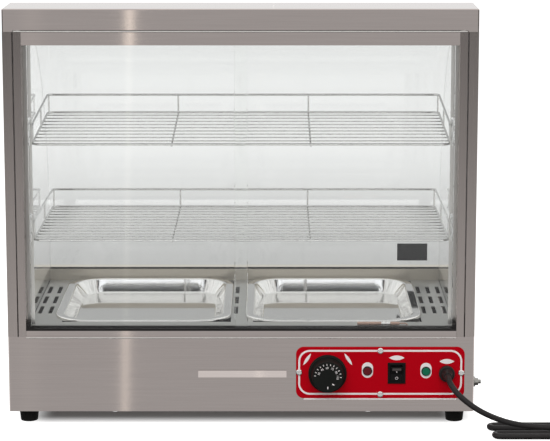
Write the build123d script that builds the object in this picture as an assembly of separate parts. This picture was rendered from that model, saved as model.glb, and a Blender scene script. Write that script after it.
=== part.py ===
from build123d import *
import os
from math import acos, cos, degrees, pi, radians, sin, sqrt, tan

os.makedirs("parts", exist_ok=True)

# Heated display case for a counter, in millimetres.
# X runs to the right as the operator sees it, Y runs away from the operator, Z is up.
# Lengths along Y below are measured from the operator's front face of the case.

# Overall size
WIDTH = 660.0
BASE_DEPTH = 400.0
FOOT_HEIGHT = 20.0
BASE_TOP = 128.5
CAP_BOTTOM = 560.6
CAP_TOP = 592.4
CAP_DEPTH = 104.0
HALF = WIDTH / 2

# Sheet thicknesses
SHEET = 1.2
FLOOR_SHEET = 1.0
PAN_SHEET = 0.9

# Base
FLANGE_INNER_X = 296.0
FLANGE_FRONT_Y = 47.0
FLANGE_REAR_Y = 355.0
COVER_LIP = 14.0
COVER_Z = (FOOT_HEIGHT, FOOT_HEIGHT + SHEET)
COVER_SCREW_INSET = 7.0
COVER_SCREW_RADIUS = 1.6
COVER_SCREW_HOLE = 1.65
COVER_SCREW_HEAD = 1.8
COVER_SCREW_LENGTH = 8.0
COVER_SCREWS_X = (-180.0, 180.0)
COVER_SCREWS_Y = (110.0, 290.0)
BASE_EDGE = 1.5
FOOT_X = 305.0
FOOT_FRONT_Y = 30.0
FOOT_REAR_Y = BASE_DEPTH - 30.0
FOOT_TOP_RADIUS = 14.5
FOOT_BOTTOM_RADIUS = 12.2
FOOT_SEAT_Z = 12.0
FOOT_SCREW_RADIUS = 2.5
FOOT_SCREW_HOLE = 2.6
FOOT_SCREW_HEAD_RADIUS = 4.6
FOOT_SCREW_HEAD = 3.6
FOOT_SCREW_REACH = 9.0
FOOT_NUT = 4.0
FOOT_EDGE = 1.5
FOOT_RECESS = 5.5

# Sill around the glass
SILL_TOP = 153.0
SILL_INNER_X = 310.5
SILL_INNER_Y = 362.0

# Front posts and door frame
POST_INNER_X = 316.2
POST_DEPTH = 30.0
POST_EDGE = 0.8
FRAME_OUTER_X = 314.7
FRAME_INNER_X = 304.2
FRAME_SIDE_DEPTH = 27.2
FRAME_RAIL_X = FRAME_INNER_X - 0.2
FRAME_SILL_TOP = 137.1
FRAME_HEAD_BOTTOM = 541.9
FRAME_HEAD_RETURN = 4.6
BEAD_RADIUS = 1.0
BEAD_HALF_X = 313.8
BEAD_Z = 561.1
SILL_BEAD_RADIUS = 0.75
SILL_BEAD_Z = 126.9
SILL_HEM = 0.4
SILL_HEM_TOP = 130.0
UPRIGHT_INNER_X = 293.8
UPRIGHT_OUTER_X = 311.0
UPRIGHT_SHEET = 1.5
UPRIGHT_BOTTOM = 141.0
UPRIGHT_TOP = 560.0
UPRIGHT_SLOT_GAP = 0.8
UPRIGHT_SLOT_SPARE = 1.0

# Door tracks and doors
TRACK_REAR_Y = 22.6
TRACK_SEAT_Z = 132.5
TRACK_TOP_Z = 140.0
TRACK_HEAD_BOTTOM = 545.0
GROOVE_WIDTH = 4.8
GROOVE_FRONT_Y = 7.4
GROOVE_REAR_Y = 16.8
GROOVE_FLOOR_Z = 136.3
GROOVE_HEAD_Z = 560.0
STOP_INNER_X = 298.6
STOP_FRONT_Y = 2.0
STOP_TOP_Z = 146.0
DOOR_GLASS = 4.0
DOOR_OUTER_X = 298.3
DOOR_EDGE = 0.6
DOOR_OVERLAP_X = 9.0
DOOR_BOTTOM_Z = 136.6
DOOR_TOP_Z = 553.0

# Fixed glass
SIDE_GLASS_X = 304.0
SIDE_GLASS = 5.0
SIDE_GLASS_FRONT_Y = 32.0
SIDE_GLASS_BOTTOM = 137.5
SIDE_GLASS_TOP = 566.0
BENT_GLASS = 5.0
BENT_RADIUS = 331.0
BENT_CENTRE_Y = 36.0
BENT_CENTRE_Z = 237.0
BENT_BOTTOM_Z = 154.0
BENT_END_ANGLE = 79.5
BENT_HALF_X = SIDE_GLASS_X + SIDE_GLASS
PANE_GAP = 0.5
SEAL_LIP = 1.6
SEAL_RISE = 0.8
TOP_SEAL_WIDTH = 16.0
TOP_SEAL_INNER = 2.0
TOP_SEAL_OUTER = 6.0
TOP_SEAL_TURN = 1.4
TOP_SEAL_DROP = 10.0
CAP_EDGE = 1.6
CAP_REAR_STEP = 6.6
CAP_NOTCH_X = 315.2
CAP_NOTCH_RISE = 2.4
CAP_NOTCH_GAP = 0.2
LINER_Z = 568.0
LABEL_X = (239.0, 286.0)
LABEL_Z = (166.0, 193.0)
LABEL_SHEET = 0.5

# Chamber floor
FLOOR_Z = 136.0
LEDGE_Z = 140.0
LEDGE_FRONT_Y = 23.2
LEDGE_HALF_X = 299.0
FLOOR_HALF_X = 309.0
FLOOR_REAR_Y = 361.0
SLOT_LENGTH = 49.0
SLOT_WIDTH = 5.8
SLOT_ROWS_Y = (145.0, 215.0, 286.0)
SLOT_COLUMNS_X = (9.5, 267.0, 282.0, 297.0)
CUTOUT_X = (16.0, 259.5)
CUTOUT_Y = (53.5, 352.0)

# Food trays
TRAY_WIDTH = 256.0
TRAY_DEPTH = 308.0
TRAY_FRONT_Y = 50.0
TRAY_CENTRE_X = 138.0
TRAY_SHIFT_X = -5.5
TRAY_CORNER = 56.0
TRAY_RIM_Z = 141.5
TRAY_RIM_WIDTH = 12.0
TRAY_WALL_RUN = 13.0
TRAY_FLOOR_Z = 121.0
TRAY_GAP = 0.3
TRAY_BENDS = (2.0, 3.0, 4.0)
TRAY_FLOOR_LAP = (6.0, 4.0)

# Wire shelves
UPPER_SHELF = {"front_z": 399.0, "depth": 240.0, "tilt": 3.25, "wires": 10}
LOWER_SHELF = {"front_z": 262.0, "depth": 292.0, "tilt": -0.55, "wires": 12}
SHELF_HALF_X = 294.5
SHELF_FRONT_Y = 33.0
FRAME_WIRE = 1.75
CROSS_WIRE = 1.35
CROSS_WIRE_DROP = 2.2
LONG_WIRE = 1.05
CROSS_WIRE_X = 98.0
RAIL_RISE = 27.0
RAIL_BEND = 8.0
SHELF_CORNER = 10.0
RAIL_STAY = 0.55
CORNER_STAY_INSET = 1.5
CORNER_STAY_SHORT = 1.0
HOOK_X = (295.9, 298.4)
HOOK_REAR_Y = 46.0
HOOK_FINGER_HEIGHT = 5.0
HOOK_DROP = 7.0
HOOK_FINGERS_Z = (6.0, 26.0)
HOOK_PLATE_Z = (-3.0, 34.0)
HOOK_GAP = 0.4
HOOK_TIP = 2.6

# Drip tray
DRIP_CENTRE_X = 1.5
DRIP_HALF_X = 59.5
DRIP_BOTTOM_Z = 70.7
DRIP_TOP_Z = 78.9
DRIP_REAR_Y = 280.0
DRIP_LIP_HALF_X = 62.5
DRIP_LIP_Z = (69.7, 79.9)
DRIP_LIP_REACH = 10.0
DRIP_LIP_TIP_RISE = 1.3
DRIP_SLOT_GAP = 0.4
DRIP_SHEET = 0.8
DRIP_LIP_TOP = 1.2
DRIP_LIP_EDGE = 1.0
DRIP_LIP_FLOOR = 1.8
DRIP_LIP_WALL = 1.4
GUIDE_GAP = 0.3
GUIDE_WEB = (1.2, 2.4)
GUIDE_LEDGE = 9.0
GUIDE_FOOT = 11.0
GUIDE_REAR_Y = 290.0
GUIDE_FRONT_GAP = 2.0

# Controls on the front of the base
PANEL_X = (77.5, 316.5)
PANEL_Z = (39.4, 114.1)
PANEL_SHEET = 1.5
PANEL_CORNER = 11.0
PANEL_SCREWS = ((82.0, 77.5), (197.0, 108.5), (197.0, 45.4), (311.7, 76.6))
PANEL_SCREW_HEAD = 4.6
PANEL_SCREW_RADIUS = 1.8
PANEL_SCREW_DOME = 2.2
PANEL_SCREW_ROUNDING = 1.9
PANEL_SCREW_SOCKET = 1.5
PANEL_SCREW_SOCKET_DEPTH = 1.8
PANEL_SCREW_END_Y = 9.0
PANEL_EDGE = 0.7
SPINDLE_HOLE = 5.0
KNOB_AT = (122.2, 75.7)
KNOB_SKIRT_RADIUS = 27.25
KNOB_GRIP_RADIUS = (23.5, 22.0)
KNOB_BACK_Y = -2.3
KNOB_SKIRT_Y = -7.5
KNOB_FACE_Y = -25.0
KNOB_SKIRT_EDGE = 2.4
KNOB_FACE_EDGE = 1.4
SHAFT_RADIUS = 3.0
SHAFT_END_Y = KNOB_FACE_Y + 5.0
SHAFT_BORE_DEPTH = 9.0
SHAFT_END_GAP = 0.5
RUNNING_GAP = 0.05
THERMOSTAT_HALF = (18.0, 17.5)
THERMOSTAT_REAR_Y = 33.0
RED_LAMP_AT = (178.8, 79.4)
GREEN_LAMP_AT = (261.8, 78.9)
LAMP_LENS_RADIUS = 6.8
LAMP_LENS = 2.6
LAMP_LENS_EDGE = 2.0
LAMP_BODY_RADIUS = 4.9
LAMP_REAR_Y = 15.0
ROCKER_AT = (220.2, 76.2)
ROCKER_TURN = 10.0
ROCKER_BEZEL = (12.6, 15.2)
ROCKER_BEZEL_RISE = 2.0
ROCKER_BEZEL_EDGE = 0.7
ROCKER_HOLE = (11.0, 14.0)
ROCKER_BODY = (10.8, 13.8)
ROCKER_WELL = (9.0, 11.8)
ROCKER_WELL_DEPTH = 8.0
ROCKER_REAR_Y = 20.0
ROCKER_BUTTON_HALF_X = 8.6
ROCKER_PIVOT_Y = 1.0
ROCKER_END = (-7.2, 10.8)
ROCKER_END_ROUND = 1.0
ROCKER_DIP_Y = -5.2
ROCKER_BACK = (0.5, 10.2)
ROCKER_KEEL_Y = 4.0
GLAND_AT = (291.2, 76.0)
GLAND_TIP_Y = -22.0
GLAND_HOLE = 7.8
GLAND_THREAD = 7.75
GLAND_COLLAR_RADIUS = 11.3
GLAND_COLLAR = 7.5
GLAND_COLLAR_EDGE = 1.2
GLAND_SLEEVE = (5.6, 8.6)
GLAND_REAR_Y = 10.0
GLAND_NUT_RADIUS = 13.0
GLAND_NUT = 5.0
BOND_AT = (30.0, 56.0)
BOND_REACH = 342.5
BOND_RADIUS = 3.0
BOND_ROOT_RADIUS = 2.6
BOND_INSIDE = 12.0
BOND_NUT_RADIUS = 5.6
BOND_WASHER_RADIUS = 7.4
BOND_INNER_NUT = 4.5
BOND_SPACER = 2.4
BOND_WASHER = 1.6
BOND_OUTER_NUT = 4.6

# Heating and its control
ELEMENT_RADIUS = 4.0
ELEMENT_Z = 104.0
ELEMENT_LEGS_Y = (120.0, 280.0)
ELEMENT_X = (85.0, 262.0)
ELEMENT_BEND = 25.0
BRACKETS_X = (110.0, 225.0)
BRACKET_PAST_LEG = 18.0
BRACKET_RISE = 8.0
BRACKET_FOOT = 18.0
TERMINAL_X = (262.0, 302.0)
TERMINAL_Y = (60.0, 84.0)
TERMINAL_TOP = 40.0
TERMINAL_COUNT = 3
TERMINAL_FIRST = 7.0
TERMINAL_SPACING = 13.0
TERMINAL_SCREW_RADIUS = 3.0
TERMINAL_WIRE_RADIUS = 3.2
TERMINAL_WIRE_Z = 29.0
TERMINAL_WIRE_DEPTH = 6.0
TERMINAL_SCREW_DEPTH = 10.0
BULB_RADIUS = 2.25
BULB_X = (165.0, 225.0)
BULB_Y = 27.0
BULB_Z = 142.35
CLIP_X = (199.0, 212.0)
CAPILLARY_RADIUS = 1.0
CAPILLARY_RISE_X = BULB_X[1] + 11.0
CAPILLARY_BASE_HOLE = 4.0
CAPILLARY_LEDGE_HOLE = 2.4
CAPILLARY_BEND = 3.0
CAPILLARY_STEP_X = 30.0
CAPILLARY_BEHIND_Y = (41.0, 38.0)
CAPILLARY_CLIMB = (12.0, 30.0, 38.0, 46.0)
CLIP_GAP = 0.05
CLIP_SHEET = 0.9
CLIP_FOOT = 8.0

# Mains lead
CORD_RADIUS = 4.1
CORD_ROUTE = [
    (291.2, -22.0, 76.0), (291.2, -32.0, 76.0), (292.2, -41.5, 73.3), (296.0, -50.0, 67.9),
    (301.3, -56.5, 61.6), (308.8, -61.0, 54.9), (317.9, -64.0, 48.0), (328.5, -66.0, 40.8),
    (342.0, -66.6, 33.4), (358.0, -65.5, 26.2), (376.0, -64.0, 20.0), (398.0, -64.0, 16.0),
    (423.0, -66.3, 14.5), (448.0, -69.0, 14.4), (473.0, -70.0, 14.4), (496.0, -70.0, 14.4),
]
HANK_LOW_Z = 5.7
HANK_LAYER = 8.7
HANK_RIGHT_X = 545.0
HANK_LEFT_X = (359.0, 362.5)
HANK_SHORT_X = 455.0
HANK_STRANDS_Y = (-22.0, -39.0, -65.0, -82.0, -99.0, -116.0)
HANK_DESCENT_X = (541.0, 485.0)
PLUG_Y = -141.0
PLUG_Z = 19.5
PLUG_CLIMB_X = (560.0, 520.0)
PLUG_MOUTH_X = 510.0
PLUG_SLEEVE = 22.0
PLUG_BODY = 28.0
PLUG_RADIUS = 19.0
PLUG_PIN = 19.0
PLUG_PIN_RADIUS = 2.4
PLUG_PIN_SPACING = 19.0
PLUG_SLEEVE_RADIUS = (6.0, 9.5)
PLUG_EDGE = 5.0
TIE_X = (500.0, 512.0)
TIE_SHEET = 1.0
TIE_GAP = 0.4

# The frame's origin lies under the middle of the case, on the surface it stands on
SHIFT = Location((-(BOND_REACH - HALF) / 2, -(BASE_DEPTH + KNOB_FACE_Y) / 2, 0))


def save(name, shape):
    """Writes one sub-part in the shared frame."""
    export_step(shape.moved(SHIFT), "parts/%s.step" % name)


def block(x, y, z):
    """A box between two limits on each axis."""
    middle = Pos((x[0] + x[1]) / 2, (y[0] + y[1]) / 2, (z[0] + z[1]) / 2)
    return middle * Box(x[1] - x[0], y[1] - y[0], z[1] - z[0])


def rod_x(x, y, z, radius):
    """A round bar along X between two limits."""
    return Pos((x[0] + x[1]) / 2, y, z) * Rot(0, 90, 0) * Cylinder(radius, x[1] - x[0])


def rod_y(x, y, z, radius):
    """A round bar along Y between two limits."""
    return Pos(x, (y[0] + y[1]) / 2, z) * Rot(90, 0, 0) * Cylinder(radius, y[1] - y[0])


def rod_z(x, y, z, radius):
    """A round bar along Z between two limits."""
    return Pos(x, y, (z[0] + z[1]) / 2) * Cylinder(radius, z[1] - z[0])


def cone_y(x, y, z, near_radius, far_radius):
    """A round bar along Y that tapers from its low-Y end to its high-Y end."""
    return Pos(x, (y[0] + y[1]) / 2, z) * Rot(-90, 0, 0) * Cone(near_radius, far_radius, y[1] - y[0])


def from_side(outline, x):
    """A solid whose side view, drawn as (Y, Z), runs along X between two limits."""
    face = make_face(Plane.YZ * outline)
    return Pos(x[0], 0, 0) * extrude(face, amount=x[1] - x[0])


def both_sides(shape):
    """The shape and its mirror image on the other side of the case."""
    return Compound([mirror(shape, about=Plane.YZ), shape])


def left_of(shape):
    """The mirror image on the left of a shape made for the right."""
    return mirror(shape, about=Plane.YZ)


def joined(pieces):
    """One solid from pieces that run into each other."""
    return pieces[0].fuse(*pieces[1:])


def wire(points, bends, radius):
    """A round wire along straight runs with a bend radius at each corner."""
    path = FilletPolyline(*points, radius=bends)
    section = Plane(origin=path @ 0, z_dir=path % 0) * Circle(radius)
    return sweep(section, path=path)


# Base: folded shell, cover underneath, feet
def base_shell():
    inside_x = (-HALF + SHEET, HALF - SHEET)
    inside_y = (SHEET, BASE_DEPTH - SHEET)
    flange_z = (BASE_TOP - 2 * SHEET, BASE_TOP)
    walls = block((-HALF, HALF), (0, BASE_DEPTH), (FOOT_HEIGHT, BASE_TOP))
    walls = fillet(walls.edges().filter_by(Axis.Z), BASE_EDGE)
    walls -= block(inside_x, inside_y, (FOOT_HEIGHT, BASE_TOP - SHEET))
    walls -= block((-FLANGE_INNER_X, FLANGE_INNER_X), (FLANGE_FRONT_Y, FLANGE_REAR_Y), flange_z)
    lip_z = (FOOT_HEIGHT + SHEET, FOOT_HEIGHT + 2 * SHEET)
    lip = block(inside_x, inside_y, lip_z)
    lip -= block((-HALF + COVER_LIP, HALF - COVER_LIP), (COVER_LIP, BASE_DEPTH - COVER_LIP), lip_z)
    shell = walls + lip
    through = (-1.0, 2 * SHEET)
    slot_half = DRIP_HALF_X + DRIP_SLOT_GAP
    slot_z = (DRIP_BOTTOM_Z - DRIP_SLOT_GAP, DRIP_TOP_Z + DRIP_SLOT_GAP)
    shell -= block((DRIP_CENTRE_X - slot_half, DRIP_CENTRE_X + slot_half), through, slot_z)
    shell -= panel_holes(through)
    shell -= rod_x((HALF - 2 * SHEET, HALF + 1), BOND_AT[0], BOND_AT[1], BOND_RADIUS)
    shell -= rod_z(CAPILLARY_RISE_X, BULB_Y, (BASE_TOP - 2 * SHEET, BASE_TOP + 1), CAPILLARY_BASE_HOLE)
    for x, y in cover_screw_places():
        shell -= rod_z(x, y, (FOOT_HEIGHT, lip_z[1] + 1), COVER_SCREW_HOLE)
    return shell


def panel_holes(y):
    """What is cut through the front wall and the control panel."""
    cuts = [rod_y(x, y, z, PANEL_SCREW_RADIUS) for x, z in PANEL_SCREWS]
    cuts += [rod_y(x, y, z, SPINDLE_HOLE) for x, z in (KNOB_AT, RED_LAMP_AT, GREEN_LAMP_AT)]
    cuts.append(rod_y(GLAND_AT[0], y, GLAND_AT[1], GLAND_HOLE))
    cuts.append(rocker_block(ROCKER_HOLE, y))
    return Compound(cuts)


def cover_screw_places():
    """Two self-tapping screws along each edge of the cover."""
    near, far = COVER_SCREW_INSET, BASE_DEPTH - COVER_SCREW_INSET
    side = HALF - COVER_SCREW_INSET
    along_x = [(x, y) for x in COVER_SCREWS_X for y in (near, far)]
    along_y = [(x, y) for x in (-side, side) for y in COVER_SCREWS_Y]
    return along_x + along_y


def foot_places():
    return [(x, y) for x in (-FOOT_X, FOOT_X) for y in (FOOT_FRONT_Y, FOOT_REAR_Y)]


def base_cover():
    cover = block((-HALF + SHEET, HALF - SHEET), (SHEET, BASE_DEPTH - SHEET), COVER_Z)
    drilled_z = (COVER_Z[0] - 1, COVER_Z[1] + 1)
    for x, y in cover_screw_places():
        cover -= rod_z(x, y, drilled_z, COVER_SCREW_HOLE)
    for x, y in foot_places():
        cover -= rod_z(x, y, drilled_z, FOOT_SCREW_HOLE)
    return cover


def cover_screws():
    solids = []
    for x, y in cover_screw_places():
        head = rod_z(x, y, (FOOT_HEIGHT - COVER_SCREW_HEAD, FOOT_HEIGHT), 2 * COVER_SCREW_RADIUS)
        shank = rod_z(x, y, (FOOT_HEIGHT, FOOT_HEIGHT + COVER_SCREW_LENGTH), COVER_SCREW_RADIUS)
        solids.append(head + shank)
    return Compound(solids)


def feet():
    solids = []
    for x, y in foot_places():
        body = Pos(x, y, FOOT_HEIGHT / 2) * Cone(FOOT_BOTTOM_RADIUS, FOOT_TOP_RADIUS, FOOT_HEIGHT)
        body = fillet(body.edges().sort_by(Axis.Z)[0], FOOT_EDGE)
        body -= rod_z(x, y, (-1, FOOT_SEAT_Z), FOOT_RECESS)
        body -= rod_z(x, y, (0, FOOT_HEIGHT + 1), FOOT_SCREW_HOLE)
        solids.append(body)
    return Compound(solids)


def foot_screws():
    solids = []
    for x, y in foot_places():
        head = rod_z(x, y, (FOOT_SEAT_Z - FOOT_SCREW_HEAD, FOOT_SEAT_Z), FOOT_SCREW_HEAD_RADIUS)
        screw = head + rod_z(x, y, (FOOT_SEAT_Z, FOOT_HEIGHT + FOOT_SCREW_REACH), FOOT_SCREW_RADIUS)
        nut = Pos(x, y, COVER_Z[1]) * extrude(RegularPolygon(FOOT_SCREW_HEAD_RADIUS, 6), FOOT_NUT)
        solids.append(screw + nut)
    return Compound(solids)


# Sill that carries the glass, and the chamber floor inside it
def sill_frame():
    def rails(inset, z):
        outer = block((-HALF + inset, HALF - inset), (POST_DEPTH + inset, BASE_DEPTH - inset), z)
        inner_x = SILL_INNER_X + inset
        return outer - block((-inner_x, inner_x), (0, SILL_INNER_Y + inset), z)

    return rails(0, (BASE_TOP, SILL_TOP)) - rails(SHEET, (BASE_TOP, SILL_TOP - SHEET))


def floor_plate():
    under = FLOOR_Z - FLOOR_SHEET
    step_y = FLANGE_FRONT_Y
    wide_x = (-FLOOR_HALF_X, FLOOR_HALF_X)
    plate = block(wide_x, (step_y, FLOOR_REAR_Y), (BASE_TOP, FLOOR_Z))
    inside_x = FLOOR_HALF_X - FLOOR_SHEET
    plate -= block((-inside_x, inside_x), (step_y, FLOOR_REAR_Y - FLOOR_SHEET), (BASE_TOP, under))
    ledge_x = (-LEDGE_HALF_X, LEDGE_HALF_X)
    ledge_inside_y = (LEDGE_FRONT_Y + FLOOR_SHEET, step_y - FLOOR_SHEET)
    ledge = block(ledge_x, (LEDGE_FRONT_Y, step_y), (BASE_TOP, LEDGE_Z))
    ledge -= block(ledge_x, ledge_inside_y, (BASE_TOP, LEDGE_Z - FLOOR_SHEET))
    ledge -= block(ledge_x, (step_y - FLOOR_SHEET, step_y), (BASE_TOP, under))
    plate += ledge
    cut_z = (under - 1, FLOOR_Z + 1)
    for side in (-1, 1):
        cut_x = sorted(side * x for x in CUTOUT_X)
        plate -= block(cut_x, CUTOUT_Y, cut_z)
        for column in SLOT_COLUMNS_X:
            for row in SLOT_ROWS_Y:
                across = (side * column - SLOT_WIDTH / 2, side * column + SLOT_WIDTH / 2)
                plate -= block(across, (row - SLOT_LENGTH / 2, row + SLOT_LENGTH / 2), cut_z)
    plate -= rod_z(CAPILLARY_RISE_X, BULB_Y, (LEDGE_Z - 2, LEDGE_Z + 1), CAPILLARY_LEDGE_HOLE)
    return plate


# Front posts, door frame and the slotted uprights behind it
def post_right():
    height = (BASE_TOP, CAP_BOTTOM)
    post = block((POST_INNER_X, HALF), (0, POST_DEPTH), height)
    post = fillet(post.edges().filter_by(Axis.Z), POST_EDGE)
    return post - block((POST_INNER_X + SHEET, HALF - SHEET), (SHEET, POST_DEPTH - SHEET), height)


def frame_side_right():
    height = (BASE_TOP, CAP_BOTTOM + CAP_NOTCH_RISE - CAP_NOTCH_GAP)
    side = block((FRAME_INNER_X, FRAME_OUTER_X), (0, FRAME_SIDE_DEPTH), height)
    hollow_x = (FRAME_INNER_X + SHEET, FRAME_OUTER_X - SHEET)
    return side - block(hollow_x, (SHEET, FRAME_SIDE_DEPTH), height)


def frame_top():
    across = (-FRAME_RAIL_X, FRAME_RAIL_X)
    face = block(across, (0, SHEET), (FRAME_HEAD_BOTTOM, BEAD_Z))
    lip = block(across, (SHEET, FRAME_HEAD_RETURN), (FRAME_HEAD_BOTTOM, FRAME_HEAD_BOTTOM + SHEET))
    return joined([face, lip, half_bead((-BEAD_HALF_X, BEAD_HALF_X), BEAD_Z, BEAD_RADIUS)])


def half_bead(x, z, radius):
    """A half-round bead on the front face."""
    return rod_x(x, 0, z, radius) - block((-HALF, HALF), (0, POST_DEPTH), (z - 2 * radius, z + 2 * radius))


def frame_bottom():
    across = (-FRAME_RAIL_X, FRAME_RAIL_X)
    seat_z = (TRACK_SEAT_Z - SHEET, TRACK_SEAT_Z)
    face = block(across, (0, SHEET), (BASE_TOP, FRAME_SILL_TOP))
    seat = block(across, (SHEET, TRACK_REAR_Y), seat_z)
    leg = block(across, (TRACK_REAR_Y - SHEET, TRACK_REAR_Y), (BASE_TOP, seat_z[0]))
    hem = block(across, (-SILL_HEM, 0), (SILL_BEAD_Z, SILL_HEM_TOP))
    return joined([face, seat, leg, hem, half_bead(across, SILL_BEAD_Z, SILL_BEAD_RADIUS)])


def upright_right():
    strip_y = (FRAME_SIDE_DEPTH, FRAME_SIDE_DEPTH + UPRIGHT_SHEET)
    strip = block((UPRIGHT_INNER_X, UPRIGHT_OUTER_X), strip_y, (UPRIGHT_BOTTOM, UPRIGHT_TOP))
    slot_x = (HOOK_X[0] - UPRIGHT_SLOT_GAP, HOOK_X[1] + UPRIGHT_SLOT_GAP)
    for shelf_z in (UPPER_SHELF["front_z"], LOWER_SHELF["front_z"]):
        for finger in HOOK_FINGERS_Z:
            low = shelf_z + finger - HOOK_GAP
            high = shelf_z + finger + HOOK_FINGER_HEIGHT + HOOK_DROP + UPRIGHT_SLOT_SPARE
            strip -= block(slot_x, (strip_y[0] - 1, strip_y[1] + 1), (low, high))
    return strip


# Door tracks with two grooves each, end stops, sliding doors
def groove(centre_y, z):
    half = GROOVE_WIDTH / 2
    return block((-HALF, HALF), (centre_y - half, centre_y + half), z)


def track(z, groove_z):
    across = (-FRAME_RAIL_X, FRAME_RAIL_X)
    rail = block(across, (SHEET, TRACK_REAR_Y), z)
    return rail - groove(GROOVE_FRONT_Y, groove_z) - groove(GROOVE_REAR_Y, groove_z)


def track_stops():
    stop = block((STOP_INNER_X, FRAME_RAIL_X), (STOP_FRONT_Y, TRACK_REAR_Y), (TRACK_TOP_Z, STOP_TOP_Z))
    return both_sides(stop)


def door(x, groove_y):
    half = DOOR_GLASS / 2
    pane = block(x, (groove_y - half, groove_y + half), (DOOR_BOTTOM_Z, DOOR_TOP_Z))
    return chamfer(pane.edges().filter_by(Axis.Z), DOOR_EDGE)


# Fixed glass, its seals, the top cap
def bent_band(inner, outer, end_angle, bottom):
    """Side view of the bent pane: a straight foot and an arc above it."""
    centre = (BENT_CENTRE_Y, BENT_CENTRE_Z)
    reach = radians(end_angle)

    def at(radius):
        return (centre[0] + radius * cos(reach), centre[1] + radius * sin(reach))

    lines = [
        Line((centre[0] + inner, bottom), (centre[0] + outer, bottom)),
        Line((centre[0] + outer, bottom), (centre[0] + outer, centre[1])),
        CenterArc(centre, outer, 0, end_angle),
        Line(at(outer), at(inner)),
        CenterArc(centre, inner, 0, end_angle),
        Line((centre[0] + inner, centre[1]), (centre[0] + inner, bottom)),
    ]
    return Curve() + lines


def bent_glass():
    outline = bent_band(BENT_RADIUS, BENT_RADIUS + BENT_GLASS, BENT_END_ANGLE, BENT_BOTTOM_Z)
    return from_side(outline, (-BENT_HALF_X, BENT_HALF_X))


def side_glass_right():
    radius = BENT_RADIUS - PANE_GAP
    top_angle = degrees(acos(sqrt(radius**2 - (SIDE_GLASS_TOP - BENT_CENTRE_Z) ** 2) / radius))
    top_y = BENT_CENTRE_Y + radius * cos(radians(top_angle))
    rear_y = BENT_CENTRE_Y + radius
    low_y = FLOOR_REAR_Y
    low_z = BENT_BOTTOM_Z + PANE_GAP
    front_y = SIDE_GLASS_FRONT_Y
    edges = Polyline(
        (top_y, SIDE_GLASS_TOP), (front_y, SIDE_GLASS_TOP), (front_y, SIDE_GLASS_BOTTOM),
        (low_y, SIDE_GLASS_BOTTOM), (low_y, low_z), (rear_y, low_z), (rear_y, BENT_CENTRE_Z),
    )
    bend = CenterArc((BENT_CENTRE_Y, BENT_CENTRE_Z), radius, 0, top_angle)
    return from_side(Curve() + [edges, bend], (SIDE_GLASS_X, SIDE_GLASS_X + SIDE_GLASS))


def side_seals():
    """A rubber strip under each side pane and one along its front edge."""
    across = (SIDE_GLASS_X, SIDE_GLASS_X + SIDE_GLASS)
    under = block(across, (FLANGE_FRONT_Y, FLOOR_REAR_Y), (FLOOR_Z, SIDE_GLASS_BOTTOM))
    strip_y = (FRAME_SIDE_DEPTH + UPRIGHT_SHEET, SIDE_GLASS_FRONT_Y)
    front = block(across, strip_y, (UPRIGHT_BOTTOM, SIDE_GLASS_TOP))
    return Compound([left_of(under), under, left_of(front), front])


def rear_seal():
    inner_y = BENT_CENTRE_Y + BENT_RADIUS
    outer_y = inner_y + BENT_GLASS
    across = (-BENT_HALF_X, BENT_HALF_X)
    bed = block(across, (inner_y - 2 * PANE_GAP, outer_y + SEAL_LIP), (SILL_TOP, BENT_BOTTOM_Z))
    return bed + block(across, (outer_y, outer_y + SEAL_LIP), (BENT_BOTTOM_Z, BENT_BOTTOM_Z + SEAL_RISE))


def top_seal():
    """Rubber that beds the bent pane's top edge under the cap."""
    across = (-SIDE_GLASS_X + PANE_GAP, SIDE_GLASS_X - PANE_GAP)
    inner, outer = BENT_RADIUS - TOP_SEAL_INNER, BENT_RADIUS + BENT_GLASS + TOP_SEAL_OUTER
    strip = from_side(bent_band(inner, outer, BENT_END_ANGLE + TOP_SEAL_TURN, BENT_BOTTOM_Z), across)
    rear_y = CAP_DEPTH - SHEET
    room = block(across, (rear_y - TOP_SEAL_WIDTH, rear_y), (CAP_BOTTOM - TOP_SEAL_DROP, LINER_Z))
    return (strip & room) - bent_glass()


def top_cap():
    cap = block((-HALF, HALF), (0, CAP_DEPTH), (CAP_BOTTOM, CAP_TOP))
    cap = fillet(cap.edges().group_by(Axis.Z)[-1] + cap.edges().filter_by(Axis.Z), CAP_EDGE)
    cap -= block((-HALF + SHEET, HALF - SHEET), (SHEET, CAP_DEPTH - SHEET), (CAP_BOTTOM, CAP_TOP - SHEET))
    step_z = (CAP_BOTTOM, CAP_BOTTOM + CAP_REAR_STEP)
    cap -= block((-HALF, HALF), (CAP_DEPTH - 2 * SHEET, CAP_DEPTH), step_z)
    # The head rail's bead lies in a notch along the front's lower edge
    notch_z = (CAP_BOTTOM - 1, CAP_BOTTOM + CAP_NOTCH_RISE)
    return cap - block((-CAP_NOTCH_X, CAP_NOTCH_X), (-1, 2 * SHEET), notch_z)


def cap_liner():
    return block((-HALF + SHEET, HALF - SHEET), (SHEET, CAP_DEPTH - SHEET), (LINER_Z, LINER_Z + SHEET))


def label_plate():
    inner_y = BENT_CENTRE_Y + BENT_RADIUS
    return block(LABEL_X, (inner_y - LABEL_SHEET, inner_y), LABEL_Z)


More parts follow.
